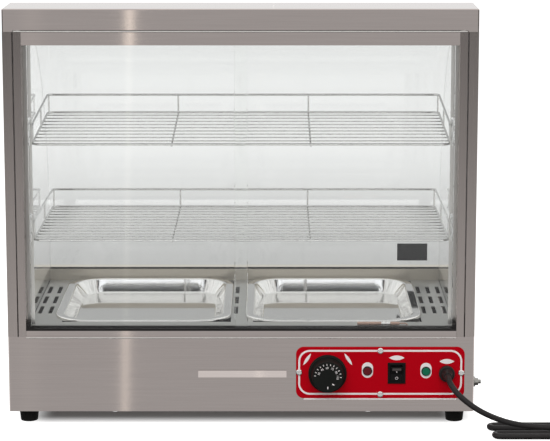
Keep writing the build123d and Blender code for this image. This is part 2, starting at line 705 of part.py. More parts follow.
# Wire shelves that hang from the uprights by a hook plate at each front corner
def shelf(front_z, depth, tilt, wires):
    half, corner = SHELF_HALF_X, SHELF_CORNER
    frame_path = Pos(0, depth / 2, 0) * RectangleRounded(2 * half, depth, corner).wire()
    start = Plane(origin=frame_path @ 0, z_dir=frame_path % 0)
    pieces = [sweep(start * Circle(FRAME_WIRE), path=frame_path)]
    for i in range(1, wires):
        pieces.append(rod_x((-half, half), depth * i / wires, 0, LONG_WIRE))
    for x in (-CROSS_WIRE_X, CROSS_WIRE_X):
        pieces.append(rod_y(x, (0, depth), -CROSS_WIRE_DROP, CROSS_WIRE))
        pieces.append(rod_z(x, depth, (0, RAIL_RISE), CROSS_WIRE))
    rail = [
        (-half, corner, 0), (-half, corner, RAIL_RISE), (-half, depth, RAIL_RISE),
        (half, depth, RAIL_RISE), (half, corner, RAIL_RISE), (half, corner, 0),
    ]
    pieces.append(wire(rail, RAIL_BEND, FRAME_WIRE))
    for x in (-half, half):
        pieces.append(rod_z(x, depth * RAIL_STAY, (0, RAIL_RISE), CROSS_WIRE))
        stay_x = x * (1 - CORNER_STAY_INSET / half)
        stay_z = (0, RAIL_RISE - CORNER_STAY_SHORT)
        pieces.append(rod_z(stay_x, depth - CORNER_STAY_INSET, stay_z, CROSS_WIRE))
    basket = Pos(0, SHELF_FRONT_Y, front_z) * Rot(tilt, 0, 0) * joined(pieces)
    plate = hook_plate(front_z)
    return joined([basket, plate, left_of(plate)])


def hook_plate(front_z):
    """A flat plate with two fingers that drop behind the slotted upright."""
    upright_y = (FRAME_SIDE_DEPTH, FRAME_SIDE_DEPTH + UPRIGHT_SHEET)
    face_y = upright_y[1] + HOOK_GAP
    low, high = (front_z + z for z in HOOK_PLATE_Z)
    pieces = [block(HOOK_X, (face_y, HOOK_REAR_Y), (low, high))]
    tip_y = (upright_y[0] - HOOK_GAP - HOOK_TIP, upright_y[0] - HOOK_GAP)
    for finger in HOOK_FINGERS_Z:
        z = front_z + finger
        pieces.append(block(HOOK_X, (tip_y[0], face_y), (z, z + HOOK_FINGER_HEIGHT)))
        pieces.append(block(HOOK_X, tip_y, (z - HOOK_DROP, z)))
    return joined(pieces)


# Food trays: a pressed pan whose flat rim rests on the chamber floor
def food_tray(centre_x):
    half_sheet = PAN_SHEET / 2
    inset = half_sheet
    path = RectangleRounded(TRAY_WIDTH - 2 * inset, TRAY_DEPTH - 2 * inset, TRAY_CORNER - inset).wire()
    start, along = path @ 0, path % 0
    outward = along.cross(Vector(0, 0, 1))
    if outward.dot(start) < 0:
        outward = -outward
    section_plane = Plane(origin=start, x_dir=outward, z_dir=outward.cross(Vector(0, 0, 1)))
    rim = TRAY_RIM_Z - half_sheet
    floor = TRAY_FLOOR_Z + half_sheet
    wall_top = -TRAY_RIM_WIDTH
    wall_foot = wall_top - TRAY_WALL_RUN
    inner_lap, outer_lap = TRAY_FLOOR_LAP
    profile = FilletPolyline(
        (0, FLOOR_Z + TRAY_GAP), (0, rim), (wall_top, rim), (wall_foot, floor),
        (wall_foot - inner_lap, floor),
        radius=TRAY_BENDS,
    )
    ring = sweep(section_plane * trace(profile, line_width=PAN_SHEET).face(), path=path)
    inset += outer_lap - wall_foot
    floor_sheet = RectangleRounded(TRAY_WIDTH - 2 * inset, TRAY_DEPTH - 2 * inset, TRAY_CORNER - inset)
    bottom = extrude(Pos(0, 0, TRAY_FLOOR_Z) * floor_sheet, PAN_SHEET)
    return Pos(centre_x, TRAY_FRONT_Y + TRAY_DEPTH / 2, 0) * joined([ring, bottom])


# Drip tray behind its bent lip, and the two rails it slides on
def drip_tray():
    sheet = DRIP_SHEET
    front = -DRIP_SLOT_GAP
    x = (DRIP_CENTRE_X - DRIP_HALF_X, DRIP_CENTRE_X + DRIP_HALF_X)
    inside_x = (x[0] + sheet, x[1] - sheet)
    body = block(x, (front, DRIP_REAR_Y), (DRIP_BOTTOM_Z, DRIP_TOP_Z))
    body -= block(inside_x, (front, DRIP_REAR_Y - sheet), (DRIP_BOTTOM_Z + sheet, DRIP_TOP_Z + 1))
    low, high = DRIP_LIP_Z
    tip = -DRIP_LIP_REACH
    top_y, tip_z = front - DRIP_LIP_TOP, low + DRIP_LIP_TIP_RISE
    outer = Polyline(
        (front, low), (front, high), (top_y, high), (tip, tip_z + DRIP_LIP_EDGE), (tip, tip_z), close=True
    )
    hollow_low, hollow_high = low + DRIP_LIP_FLOOR, high - DRIP_LIP_WALL
    hollow_top_y, hollow_tip = front - DRIP_LIP_TOP / 2, tip + DRIP_LIP_WALL
    inner = Polyline(
        (front, hollow_low), (front, hollow_high), (hollow_top_y, hollow_high), (hollow_tip, hollow_low),
        close=True,
    )
    lip_x = (DRIP_CENTRE_X - DRIP_LIP_HALF_X, DRIP_CENTRE_X + DRIP_LIP_HALF_X)
    lip = from_side(outer, lip_x) - from_side(inner, (lip_x[0] + sheet, lip_x[1] - sheet))
    return body + lip


def drip_guides():
    web_x = (DRIP_HALF_X + GUIDE_WEB[0], DRIP_HALF_X + GUIDE_WEB[1])
    along = (COVER_LIP + GUIDE_FRONT_GAP, GUIDE_REAR_Y)
    ledge_top = DRIP_BOTTOM_Z - GUIDE_GAP
    rail = block(web_x, along, (COVER_Z[1], DRIP_TOP_Z))
    rail += block((web_x[0] - GUIDE_LEDGE, web_x[0]), along, (ledge_top - SHEET, ledge_top))
    rail += block((web_x[1], web_x[1] + GUIDE_FOOT), along, (COVER_Z[1], COVER_Z[1] + SHEET))
    return Pos(DRIP_CENTRE_X, 0, 0) * both_sides(rail)


# Controls
def control_panel():
    width, height = PANEL_X[1] - PANEL_X[0], PANEL_Z[1] - PANEL_Z[0]
    middle = Vector((PANEL_X[0] + PANEL_X[1]) / 2, 0, (PANEL_Z[0] + PANEL_Z[1]) / 2)
    front = Plane(origin=middle, x_dir=(1, 0, 0), z_dir=(0, -1, 0))
    plate = extrude(front * RectangleRounded(width, height, PANEL_CORNER), PANEL_SHEET)
    plate = fillet(plate.edges().group_by(Axis.Y)[0], PANEL_EDGE)
    return plate - panel_holes((-PANEL_SHEET - 1, 1))


def panel_screws():
    solids = []
    for x, z in PANEL_SCREWS:
        top_y = -PANEL_SHEET - PANEL_SCREW_DOME
        head = rod_y(x, (top_y, -PANEL_SHEET), z, PANEL_SCREW_HEAD)
        head = fillet(head.edges().sort_by(Axis.Y)[0], PANEL_SCREW_ROUNDING)
        head -= rod_y(x, (top_y - 1, top_y + PANEL_SCREW_SOCKET_DEPTH), z, PANEL_SCREW_SOCKET)
        solids.append(head + rod_y(x, (-PANEL_SHEET, PANEL_SCREW_END_Y), z, PANEL_SCREW_RADIUS))
    return Compound(solids)


def knob():
    x, z = KNOB_AT
    skirt = rod_y(x, (KNOB_SKIRT_Y, KNOB_BACK_Y), z, KNOB_SKIRT_RADIUS)
    skirt = chamfer(skirt.edges().sort_by(Axis.Y)[0], KNOB_SKIRT_EDGE)
    grip = cone_y(x, (KNOB_FACE_Y, KNOB_SKIRT_Y), z, KNOB_GRIP_RADIUS[1], KNOB_GRIP_RADIUS[0])
    grip = fillet(grip.edges().sort_by(Axis.Y)[0], KNOB_FACE_EDGE)
    return skirt + grip - rod_y(x, (SHAFT_END_Y, 0), z, SHAFT_RADIUS)


def thermostat_shaft():
    return rod_y(KNOB_AT[0], (SHAFT_END_Y, SHAFT_BORE_DEPTH - SHAFT_END_GAP), KNOB_AT[1], SHAFT_RADIUS)


def thermostat_body():
    x, z = KNOB_AT
    half_x, half_z = THERMOSTAT_HALF
    body = block((x - half_x, x + half_x), (SHEET, THERMOSTAT_REAR_Y), (z - half_z, z + half_z))
    return body - rod_y(x, (0, SHAFT_BORE_DEPTH), z, SHAFT_RADIUS + RUNNING_GAP)


def sensor_bulb():
    return rod_x(BULB_X, BULB_Y, BULB_Z, BULB_RADIUS)


def capillary():
    x, z = KNOB_AT
    rise = CAPILLARY_RISE_X
    behind_y, beside_y = CAPILLARY_BEHIND_Y
    outlet, step, upper, last = (z + climb for climb in CAPILLARY_CLIMB)
    points = [
        (x, THERMOSTAT_REAR_Y, outlet), (x, behind_y, outlet), (x + CAPILLARY_STEP_X, behind_y, step),
        (rise, beside_y, upper), (rise, BULB_Y, last), (rise, BULB_Y, BULB_Z), (BULB_X[1], BULB_Y, BULB_Z),
    ]
    return wire(points, CAPILLARY_BEND, CAPILLARY_RADIUS)


def bulb_clip():
    inner = BULB_RADIUS + CLIP_GAP
    outer = inner + CLIP_SHEET
    profile = Pos(BULB_Y, BULB_Z) * (Circle(outer) - Circle(inner))
    profile -= Pos(BULB_Y, BULB_Z - outer / 2) * Rectangle(4 * outer, outer)
    leg = BULB_Z - LEDGE_Z
    for side in (-1, 1):
        middle_y = BULB_Y + side * (inner + outer) / 2
        profile += Pos(middle_y, LEDGE_Z + leg / 2) * Rectangle(outer - inner, leg)
    foot_at = Pos(BULB_Y + inner + CLIP_FOOT / 2, LEDGE_Z + CLIP_SHEET / 2)
    profile += foot_at * Rectangle(CLIP_FOOT, CLIP_SHEET)
    return Pos(CLIP_X[0], 0, 0) * extrude(Plane.YZ * profile, CLIP_X[1] - CLIP_X[0])


def rocker_block(half, y):
    """A box round the switch's middle, from half sizes across and up."""
    x, z = ROCKER_AT
    return block((x - half[0], x + half[0]), y, (z - half[1], z + half[1]))


def rocker_housing():
    face_y = -PANEL_SHEET - ROCKER_BEZEL_RISE
    bezel = rocker_block(ROCKER_BEZEL, (face_y, -PANEL_SHEET))
    bezel = chamfer(bezel.edges().group_by(Axis.Y)[0], ROCKER_BEZEL_EDGE)
    body = rocker_block(ROCKER_BODY, (-PANEL_SHEET, ROCKER_REAR_Y))
    return bezel + body - rocker_block(ROCKER_WELL, (face_y - 1, ROCKER_WELL_DEPTH))


def rocker_button():
    x, z = ROCKER_AT
    end_y, end_z = ROCKER_END
    back_y, back_z = ROCKER_BACK
    profile = Polyline(
        (end_y, end_z), (ROCKER_DIP_Y, 0), (end_y, -end_z),
        (back_y, -back_z), (ROCKER_KEEL_Y, 0), (back_y, back_z), close=True,
    )
    button = from_side(profile, (-ROCKER_BUTTON_HALF_X, ROCKER_BUTTON_HALF_X))
    button = fillet(button.edges().filter_by(Axis.X).group_by(Axis.Y)[0], ROCKER_END_ROUND)
    return Pos(x, ROCKER_PIVOT_Y, z) * Rot(ROCKER_TURN, 0, 0) * button


def lamp(at):
    x, z = at
    lens_y = -PANEL_SHEET
    lens = rod_y(x, (lens_y - LAMP_LENS, lens_y), z, LAMP_LENS_RADIUS)
    lens = fillet(lens.edges().sort_by(Axis.Y)[0], LAMP_LENS_EDGE)
    return lens + rod_y(x, (lens_y, LAMP_REAR_Y), z, LAMP_BODY_RADIUS)


def cable_gland():
    x, z = GLAND_AT
    collar_y = (-PANEL_SHEET - GLAND_COLLAR, -PANEL_SHEET)
    collar = rod_y(x, collar_y, z, GLAND_COLLAR_RADIUS)
    collar = chamfer(collar.edges().sort_by(Axis.Y)[0], GLAND_COLLAR_EDGE)
    sleeve = cone_y(x, (GLAND_TIP_Y, collar_y[0]), z, *GLAND_SLEEVE)
    return collar + sleeve + rod_y(x, (-PANEL_SHEET, GLAND_REAR_Y), z, GLAND_THREAD)


def gland_nut():
    x, z = GLAND_AT
    face = Plane(origin=(x, SHEET, z), x_dir=(1, 0, 0), z_dir=(0, 1, 0)) * RegularPolygon(GLAND_NUT_RADIUS, 6)
    return extrude(face, GLAND_NUT) - rod_y(x, (0, GLAND_REAR_Y), z, GLAND_THREAD)


# Heating elements under the floor, and what holds them
def heating_element_right():
    near, far = ELEMENT_LEGS_Y
    start, turn = ELEMENT_X
    corners = ((start, near), (turn, near), (turn, far), (start, far))
    points = [(x, y, ELEMENT_Z) for x, y in corners]
    return wire(points, ELEMENT_BEND, ELEMENT_RADIUS)


def element_brackets():
    near, far = ELEMENT_LEGS_Y
    along = (near - BRACKET_PAST_LEG, far + BRACKET_PAST_LEG)
    solids = []
    for x in BRACKETS_X:
        plate = block((x, x + SHEET), along, (COVER_Z[1], ELEMENT_Z + BRACKET_RISE))
        plate += block((x, x + BRACKET_FOOT), along, (COVER_Z[1], COVER_Z[1] + SHEET))
        for y in ELEMENT_LEGS_Y:
            plate -= rod_x((x - 1, x + 2 * SHEET), y, ELEMENT_Z, ELEMENT_RADIUS + RUNNING_GAP)
        solids += [left_of(plate), plate]
    return Compound(solids)


def terminal_block():
    near, far = TERMINAL_Y
    strip = block(TERMINAL_X, TERMINAL_Y, (COVER_Z[1], TERMINAL_TOP))
    screw_z = (TERMINAL_TOP - TERMINAL_SCREW_DEPTH, TERMINAL_TOP + 1)
    for i in range(TERMINAL_COUNT):
        x = TERMINAL_X[0] + TERMINAL_FIRST + TERMINAL_SPACING * i
        strip -= rod_z(x, (near + far) / 2, screw_z, TERMINAL_SCREW_RADIUS)
        strip -= rod_y(x, (near - 1, near + TERMINAL_WIRE_DEPTH), TERMINAL_WIRE_Z, TERMINAL_WIRE_RADIUS)
        strip -= rod_y(x, (far - TERMINAL_WIRE_DEPTH, far + 1), TERMINAL_WIRE_Z, TERMINAL_WIRE_RADIUS)
    return strip


# Equipotential bonding point on the right-hand side
def bond_stud():
    """The thread is drawn at its root inside the nuts and at full size on the free end."""
    free_x = HALF + BOND_SPACER + BOND_WASHER + BOND_OUTER_NUT
    inside = rod_x((HALF - BOND_INSIDE, free_x), BOND_AT[0], BOND_AT[1], BOND_ROOT_RADIUS)
    return inside + rod_x((free_x, BOND_REACH), BOND_AT[0], BOND_AT[1], BOND_RADIUS)


def bond_nuts():
    y, z = BOND_AT
    side = Plane(origin=(0, y, z), x_dir=(0, 1, 0), z_dir=(1, 0, 0))
    rings = []
    nut, washer = RegularPolygon(BOND_NUT_RADIUS, 6), Circle(BOND_WASHER_RADIUS)
    washer_x = HALF + BOND_SPACER
    for x, thick, face in (
        (HALF - SHEET - BOND_INNER_NUT, BOND_INNER_NUT, nut), (HALF, BOND_SPACER, nut),
        (washer_x, BOND_WASHER, washer), (washer_x + BOND_WASHER, BOND_OUTER_NUT, nut),
    ):
        rings.append(Pos(x, 0, 0) * extrude(side * (face - Circle(BOND_ROOT_RADIUS)), thick))
    return Compound(rings)


# Mains lead: free stretch, hank, tie, plug
def corner_radii(points):
    """As large a bend at each corner as its two runs allow."""
    radii = []
    for before, here, after in zip(points, points[1:], points[2:]):
        run_in, run_out = Vector(here) - Vector(before), Vector(after) - Vector(here)
        turn = radians(run_in.get_angle(run_out))
        radii.append(0.45 * min(run_in.length, run_out.length) / tan(turn / 2))
    return radii


def cord():
    radii = corner_radii(CORD_ROUTE)
    path = FilletPolyline(*CORD_ROUTE, radius=radii)
    tube = wire(CORD_ROUTE, radii, CORD_RADIUS)
    print("cord stretch length %.0f, radii %s" % (path.length, [round(r) for r in radii]))
    print("cord volume %.0f, section times length %.0f" % (tube.volume, pi * CORD_RADIUS**2 * path.length))
    return tube


def hank_path():
    """The hank's line: runs along X joined by half turns, coming down from its second layer along a run."""
    edges = []
    at = [Vector(*CORD_ROUTE[-1])]

    def run(x, z=None):
        start = at[0]
        end = Vector(x, start.Y, start.Z if z is None else z)
        rise = end.Z - start.Z
        if rise == 0:
            edges.append(Line(start, end))
        else:
            middle = (start + end) / 2
            forward = Vector(1, 0, 0) if x > start.X else Vector(-1, 0, 0)
            edges.append(TangentArc(start, middle, tangent=forward))
            edges.append(TangentArc(middle, end, tangent=edges[-1] % 1))
        at[0] = end

    def fold(next_y):
        start = at[0]
        end = Vector(start.X, next_y, start.Z)
        reach = abs(next_y - start.Y) / 2
        outwards = 1 if start.X >= HANK_RIGHT_X else -1
        top = Vector(start.X + outwards * reach, (start.Y + next_y) / 2, start.Z)
        edges.append(ThreePointArc(start, top, end))
        at[0] = end

    strands = HANK_STRANDS_Y
    run(HANK_RIGHT_X)
    fold(strands[0])
    run(HANK_DESCENT_X[0])
    run(HANK_DESCENT_X[1], HANK_LOW_Z)
    for i, turn_x in enumerate((*HANK_LEFT_X, HANK_SHORT_X)):
        if i:
            run(HANK_RIGHT_X)
            fold(strands[2 * i])
        run(turn_x)
        fold(strands[2 * i + 1])
    run(PLUG_CLIMB_X[0])
    fold(PLUG_Y)
    run(PLUG_CLIMB_X[1], PLUG_Z)
    run(PLUG_MOUTH_X)
    return edges


def least_self_gap(edges, step):
    """Least clear distance between turns of the tube, on points spaced along its line."""
    points, reach = [], 0.0
    for edge in edges:
        count = max(2, round(edge.length / step))
        for i in range(count):
            points.append((reach + edge.length * i / count, edge @ (i / count)))
        reach += edge.length
    least = min(
        (there - here).length
        for i, (reach, here) in enumerate(points)
        for further, there in points[i + 1:]
        if further - reach > 4 * CORD_RADIUS
    )
    return least - 2 * CORD_RADIUS


def cord_hank():
    edges = hank_path()
    path = Wire(edges)
    tube = sweep(Plane(origin=path @ 0, z_dir=path % 0) * Circle(CORD_RADIUS), path=path)
    print("hank length %.0f, least gap to itself %.2f" % (path.length, least_self_gap(edges, 4.0)))
    print("hank volume %.0f, section times length %.0f" % (tube.volume, pi * CORD_RADIUS**2 * path.length))
    return tube


def cord_tie():
    """A flat band round all the strands of the hank."""
    clear = CORD_RADIUS + TIE_GAP
    y = (min(HANK_STRANDS_Y) - clear, max(HANK_STRANDS_Y) + clear)
    z = (HANK_LOW_Z - clear, HANK_LOW_Z + HANK_LAYER + clear)
    middle = Plane(origin=(TIE_X[0], sum(y) / 2, sum(z) / 2), x_dir=(0, 1, 0), z_dir=(1, 0, 0))
    inner = RectangleRounded(y[1] - y[0], z[1] - z[0], clear)
    outer = RectangleRounded(y[1] - y[0] + 2 * TIE_SHEET, z[1] - z[0] + 2 * TIE_SHEET, clear + TIE_SHEET)
    return extrude(middle * (outer - inner), TIE_X[1] - TIE_X[0])


def plug():
    """A round two-pin plug that lies beside the hank."""
    mouth = PLUG_MOUTH_X
    body_x = (mouth - PLUG_SLEEVE - PLUG_BODY, mouth - PLUG_SLEEVE)
    sleeve = Rot(0, -90, 0) * Cone(*PLUG_SLEEVE_RADIUS, PLUG_SLEEVE)
    sleeve = Pos(mouth - PLUG_SLEEVE / 2, PLUG_Y, PLUG_Z) * sleeve
    body = rod_x(body_x, PLUG_Y, PLUG_Z, PLUG_RADIUS)
    body = fillet(body.edges().group_by(Axis.X)[-1], PLUG_EDGE)
    pieces = [body, sleeve]
    for side in (-1, 1):
        pin_y = PLUG_Y + side * PLUG_PIN_SPACING / 2
        pieces.append(rod_x((body_x[0] - PLUG_PIN, body_x[0]), pin_y, PLUG_Z, PLUG_PIN_RADIUS))
    return joined(pieces)


NODES = {
    "base_shell": base_shell(),
    "base_cover": base_cover(),
    "cover_screws": cover_screws(),
    "feet": feet(),
    "foot_screws": foot_screws(),
    "sill_frame": sill_frame(),
    "floor_plate": floor_plate(),
    "post_left": left_of(post_right()),
    "post_right": post_right(),
    "frame_side_left": left_of(frame_side_right()),
    "frame_side_right": frame_side_right(),
    "frame_top": frame_top(),
    "frame_bottom": frame_bottom(),
    "upright_left": left_of(upright_right()),
    "upright_right": upright_right(),
    "track_bottom": track((TRACK_SEAT_Z, TRACK_TOP_Z), (GROOVE_FLOOR_Z, TRACK_TOP_Z)),
    "track_top": track((TRACK_HEAD_BOTTOM, LINER_Z), (TRACK_HEAD_BOTTOM, GROOVE_HEAD_Z)),
    "track_stops": track_stops(),
    "door_left": door((-DOOR_OUTER_X, DOOR_OVERLAP_X), GROOVE_REAR_Y),
    "door_right": door((-DOOR_OVERLAP_X, DOOR_OUTER_X), GROOVE_FRONT_Y),
    "side_glass_left": left_of(side_glass_right()),
    "side_glass_right": side_glass_right(),
    "side_seals": side_seals(),
    "bent_glass": bent_glass(),
    "rear_seal": rear_seal(),
    "top_seal": top_seal(),
    "top_cap": top_cap(),
    "cap_liner": cap_liner(),
    "label_plate": label_plate(),
    "shelf_upper": shelf(**UPPER_SHELF),
    "shelf_lower": shelf(**LOWER_SHELF),
    "tray_left": food_tray(-TRAY_CENTRE_X + TRAY_SHIFT_X),
    "tray_right": food_tray(TRAY_CENTRE_X + TRAY_SHIFT_X),
    "drip_tray": drip_tray(),
    "drip_guides": drip_guides(),
    "control_panel": control_panel(),
    "panel_screws": panel_screws(),
    "knob": knob(),
    "thermostat_shaft": thermostat_shaft(),
    "thermostat_body": thermostat_body(),
    "capillary": capillary(),
    "sensor_bulb": sensor_bulb(),
    "bulb_clip": bulb_clip(),
    "rocker_housing": rocker_housing(),
    "rocker_button": rocker_button(),
    "lamp_red": lamp(RED_LAMP_AT),
    "lamp_green": lamp(GREEN_LAMP_AT),
    "cable_gland": cable_gland(),
    "gland_nut": gland_nut(),
    "element_left": left_of(heating_element_right()),
    "element_right": heating_element_right(),
    "element_brackets": element_brackets(),
    "terminal_block": terminal_block(),
    "bond_stud": bond_stud(),
    "bond_nuts": bond_nuts(),
    "cord": cord(),
    "cord_hank": cord_hank(),
    "cord_tie": cord_tie(),
    "plug": plug(),
}

for name, shape in NODES.items():
    save(name, shape)
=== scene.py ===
from math import cos, pi, radians, sin

import bmesh
import bpy
from mathutils import Matrix, Vector


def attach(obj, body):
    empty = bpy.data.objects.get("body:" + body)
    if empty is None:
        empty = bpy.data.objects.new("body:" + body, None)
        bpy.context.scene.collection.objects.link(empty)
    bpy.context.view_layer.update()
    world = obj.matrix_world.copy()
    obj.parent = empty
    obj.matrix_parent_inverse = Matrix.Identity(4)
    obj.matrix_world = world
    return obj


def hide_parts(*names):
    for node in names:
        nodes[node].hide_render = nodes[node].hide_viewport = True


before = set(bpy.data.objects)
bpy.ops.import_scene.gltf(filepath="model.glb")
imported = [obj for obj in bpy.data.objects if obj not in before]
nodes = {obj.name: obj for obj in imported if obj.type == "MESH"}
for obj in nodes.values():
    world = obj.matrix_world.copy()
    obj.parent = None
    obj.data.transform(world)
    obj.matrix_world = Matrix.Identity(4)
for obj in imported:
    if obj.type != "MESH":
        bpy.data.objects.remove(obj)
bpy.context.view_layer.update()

# Places are written in millimetres from the middle of the operator's front face, as the part is drawn
FACE_MIDDLE = Vector((-6.25, -187.5, 0.0))
MM = 0.001


def place(x, y, z):
    """A point in the shared frame, in metres."""
    return (Vector((x, y, z)) + FACE_MIDDLE) * MM


# Camera: square to the front, pitched down
PITCH_DOWN = 10.2678
CAMERA_AT = (47.735, -3202.02, 875.87)
LENS = 151.94
SENSOR = 36.0
SIGHT = 60.0

view = bpy.data.cameras.new("camera")
view.lens = LENS
view.sensor_width = SENSOR
view.sensor_fit = "HORIZONTAL"
view.clip_end = SIGHT
camera = bpy.data.objects.new("camera", view)
camera.location = place(*CAMERA_AT)
camera.rotation_euler = (radians(90.0 - PITCH_DOWN), 0.0, 0.0)
bpy.context.scene.collection.objects.link(camera)
bpy.context.scene.camera = camera
bpy.context.scene.view_settings.view_transform = "Standard"


# Small helpers for nodes
def add_node(tree, kind, links=None, **settings):
    """A node with its settings; links gives values or other nodes' outputs by input name or number."""
    node = tree.nodes.new(kind)
    for setting, value in settings.items():
        setattr(node, setting, value)
    for socket, value in (links or {}).items():
        if isinstance(value, bpy.types.NodeSocket):
            tree.links.new(value, node.inputs[socket])
        else:
            node.inputs[socket].default_value = value
    return node


def reckon(tree, operation, *values):
    """The result of an operation on numbers or other nodes' outputs."""
    node = add_node(tree, "ShaderNodeMath", dict(enumerate(values)), operation=operation)
    return node.outputs["Value"]


def reckon_vector(tree, operation, *values):
    """The result of an operation on vectors that gives a vector."""
    node = add_node(tree, "ShaderNodeVectorMath", dict(enumerate(values)), operation=operation)
    return node.outputs["Vector"]


def vector_length(tree, vector):
    return add_node(tree, "ShaderNodeVectorMath", {0: vector}, operation="LENGTH").outputs["Value"]


def ramp(tree, value, ends, levels, interpolation="SMOOTHSTEP"):
    """Goes from one level to the other while the value goes from end to end."""
    spread = add_node(
        tree, "ShaderNodeMapRange",
        {"Value": value, "From Min": ends[0], "From Max": ends[1], "To Min": levels[0], "To Max": levels[1]},
        interpolation_type=interpolation,
    )
    return spread.outputs["Result"]


def new_group(name, inputs, outputs):
    """A shader node group; inputs are (name, socket kind, starting value) and outputs are names of values."""
    group = bpy.data.node_groups.new(name, "ShaderNodeTree")
    for label, kind, start in inputs:
        socket = group.interface.new_socket(name=label, in_out="INPUT", socket_type=kind)
        socket.default_value = start
    for label in outputs:
        group.interface.new_socket(name=label, in_out="OUTPUT", socket_type="NodeSocketFloat")
    return group, group.nodes.new("NodeGroupInput"), group.nodes.new("NodeGroupOutput")


# Small helpers for materials
WHITE = (1.0, 1.0, 1.0, 1.0)


def finish(name, **sockets):
    """A material with one Principled shader; underscores in a socket's name stand for spaces."""
    material = bpy.data.materials.new(name)
    material.use_nodes = True
    for socket, value in sockets.items():
        shader_of(material).inputs[socket.replace("_", " ")].default_value = value
    return material


def shader_of(material):
    return material.node_tree.nodes["Principled BSDF"]


def place_group(material, group, **values):
    """The group's node in a material, with its own values."""
    node = material.node_tree.nodes.new("ShaderNodeGroup")
    node.node_tree = group
    for socket, value in values.items():
        node.inputs[socket.replace("_", " ")].default_value = value
    return node


def shade_by(material, mask, dark, light):
    """Mixes two colours by a mask into the shader's colour."""
    tree = material.node_tree
    mixed = add_node(
        tree, "ShaderNodeMix", {"Factor": mask, "A": (*dark, 1.0), "B": (*light, 1.0)}, data_type="RGBA"
    )
    tree.links.new(mixed.outputs["Result"], shader_of(material).inputs["Base Color"])


def roughen_by(material, mask, roughness):
    """Spreads a mask between two roughnesses."""
    tree = material.node_tree
    spread = ramp(tree, mask, (0.0, 1.0), roughness, "LINEAR")
    tree.links.new(spread, shader_of(material).inputs["Roughness"])


def bump_by(material, height, strength, distance):
    """Raises the surface by a height."""
    tree = material.node_tree
    bump = add_node(tree, "ShaderNodeBump", {"Height": height, "Strength": strength, "Distance": distance})
    tree.links.new(bump.outputs["Normal"], shader_of(material).inputs["Normal"])


def wear(piece, material):
    """Puts a material on a carried-over node or a new piece."""
    if piece.material_slots:
        for slot in piece.material_slots:
            slot.material = material
    else:
        piece.data.materials.append(material)


# Shared effects
PATCH_SCALE = 4.0
PATCH_SHARE = 0.6


def brushing_group():
    """Fine parallel scratches along the axis with the least stretch, on broad soft patches."""
    group, start, end = new_group(
        "brushing", [("Stretch", "NodeSocketVector", (1.0, 1.0, 1.0))], ["Lines", "Height"]
    )
    where = add_node(group, "ShaderNodeTexCoord").outputs["Object"]
    drawn = reckon_vector(group, "MULTIPLY", where, start.outputs["Stretch"])
    lines = add_node(
        group, "ShaderNodeTexNoise", {"Vector": drawn, "Scale": 1.0, "Detail": 5.0, "Roughness": 0.65}
    )
    patches = add_node(
        group, "ShaderNodeTexNoise", {"Vector": where, "Scale": PATCH_SCALE, "Detail": 2.0, "Roughness": 0.5}
    )
    height = reckon(group, "MULTIPLY_ADD", patches.outputs["Fac"], PATCH_SHARE, lines.outputs["Fac"])
    group.links.new(lines.outputs["Fac"], end.inputs["Lines"])
    group.links.new(height, end.inputs["Height"])
    return group


def speckle_group():
    """Fine even grain and broad cloudy variation."""
    group, start, end = new_group(
        "speckle",
        [("Grain Scale", "NodeSocketFloat", 900.0), ("Cloud Scale", "NodeSocketFloat", 14.0)],
        ["Grain", "Cloud"],
    )
    where = add_node(group, "ShaderNodeTexCoord").outputs["Object"]
    for label, detail in (("Grain", 3.0), ("Cloud", 4.0)):
        noise = add_node(
            group, "ShaderNodeTexNoise",
            {"Vector": where, "Scale": start.outputs[label + " Scale"], "Detail": detail, "Roughness": 0.55},
        )
        group.links.new(noise.outputs["Fac"], end.inputs[label])
    return group


def ring_group():
    """One outside a radius round an axis that runs along Y, zero inside it."""
    group, start, end = new_group(
        "ring",
        [("Centre", "NodeSocketVector", (0.0, 0.0, 0.0)), ("Radius", "NodeSocketFloat", 0.005)],
        ["Outside"],
    )
    where = add_node(group, "ShaderNodeTexCoord").outputs["Object"]
    offset = reckon_vector(group, "SUBTRACT", where, start.outputs["Centre"])
    flat = reckon_vector(group, "MULTIPLY", offset, (1.0, 0.0, 1.0))
    outside = reckon(group, "GREATER_THAN", vector_length(group, flat), start.outputs["Radius"])
    group.links.new(outside, end.inputs["Outside"])
    return group


brushing = brushing_group()
speckle = speckle_group()
ring = ring_group()

# Brush lines: few waves per metre along the brush, many across it
ALONG_X = (9.0, 900.0, 900.0)
ALONG_Y = (900.0, 9.0, 900.0)
ALONG_Z = (900.0, 900.0, 9.0)
X_AXIS = (1.0, 0.0, 0.0)
Y_AXIS = (0.0, 1.0, 0.0)
Z_AXIS = (0.0, 0.0, 1.0)
BRUSH_DEPTH = 0.0004
GRAIN_DEPTH = 0.0002


def brushed(name, stretch, along, dark, light, roughness, anisotropy, bump=0.06):
    """Brushed sheet steel whose scratches run along one axis."""
    material = finish(name, Metallic=1.0, Anisotropic=anisotropy, Anisotropic_Rotation=0.25)
    marks = place_group(material, brushing, Stretch=stretch)
    shade_by(material, marks.outputs["Lines"], dark, light)
    roughen_by(material, marks.outputs["Lines"], roughness)
    bump_by(material, marks.outputs["Height"], bump, BRUSH_DEPTH)
    tangent = add_node(material.node_tree, "ShaderNodeCombineXYZ", dict(zip("XYZ", along)))
    material.node_tree.links.new(tangent.outputs["Vector"], shader_of(material).inputs["Tangent"])
    return material


def even_metal(name, grain, dark, light, roughness, bump):
    """Metal whose grain is the same in every direction."""
    return brushed(name, (grain, grain, grain), X_AXIS, dark, light, roughness, 0.0, bump)


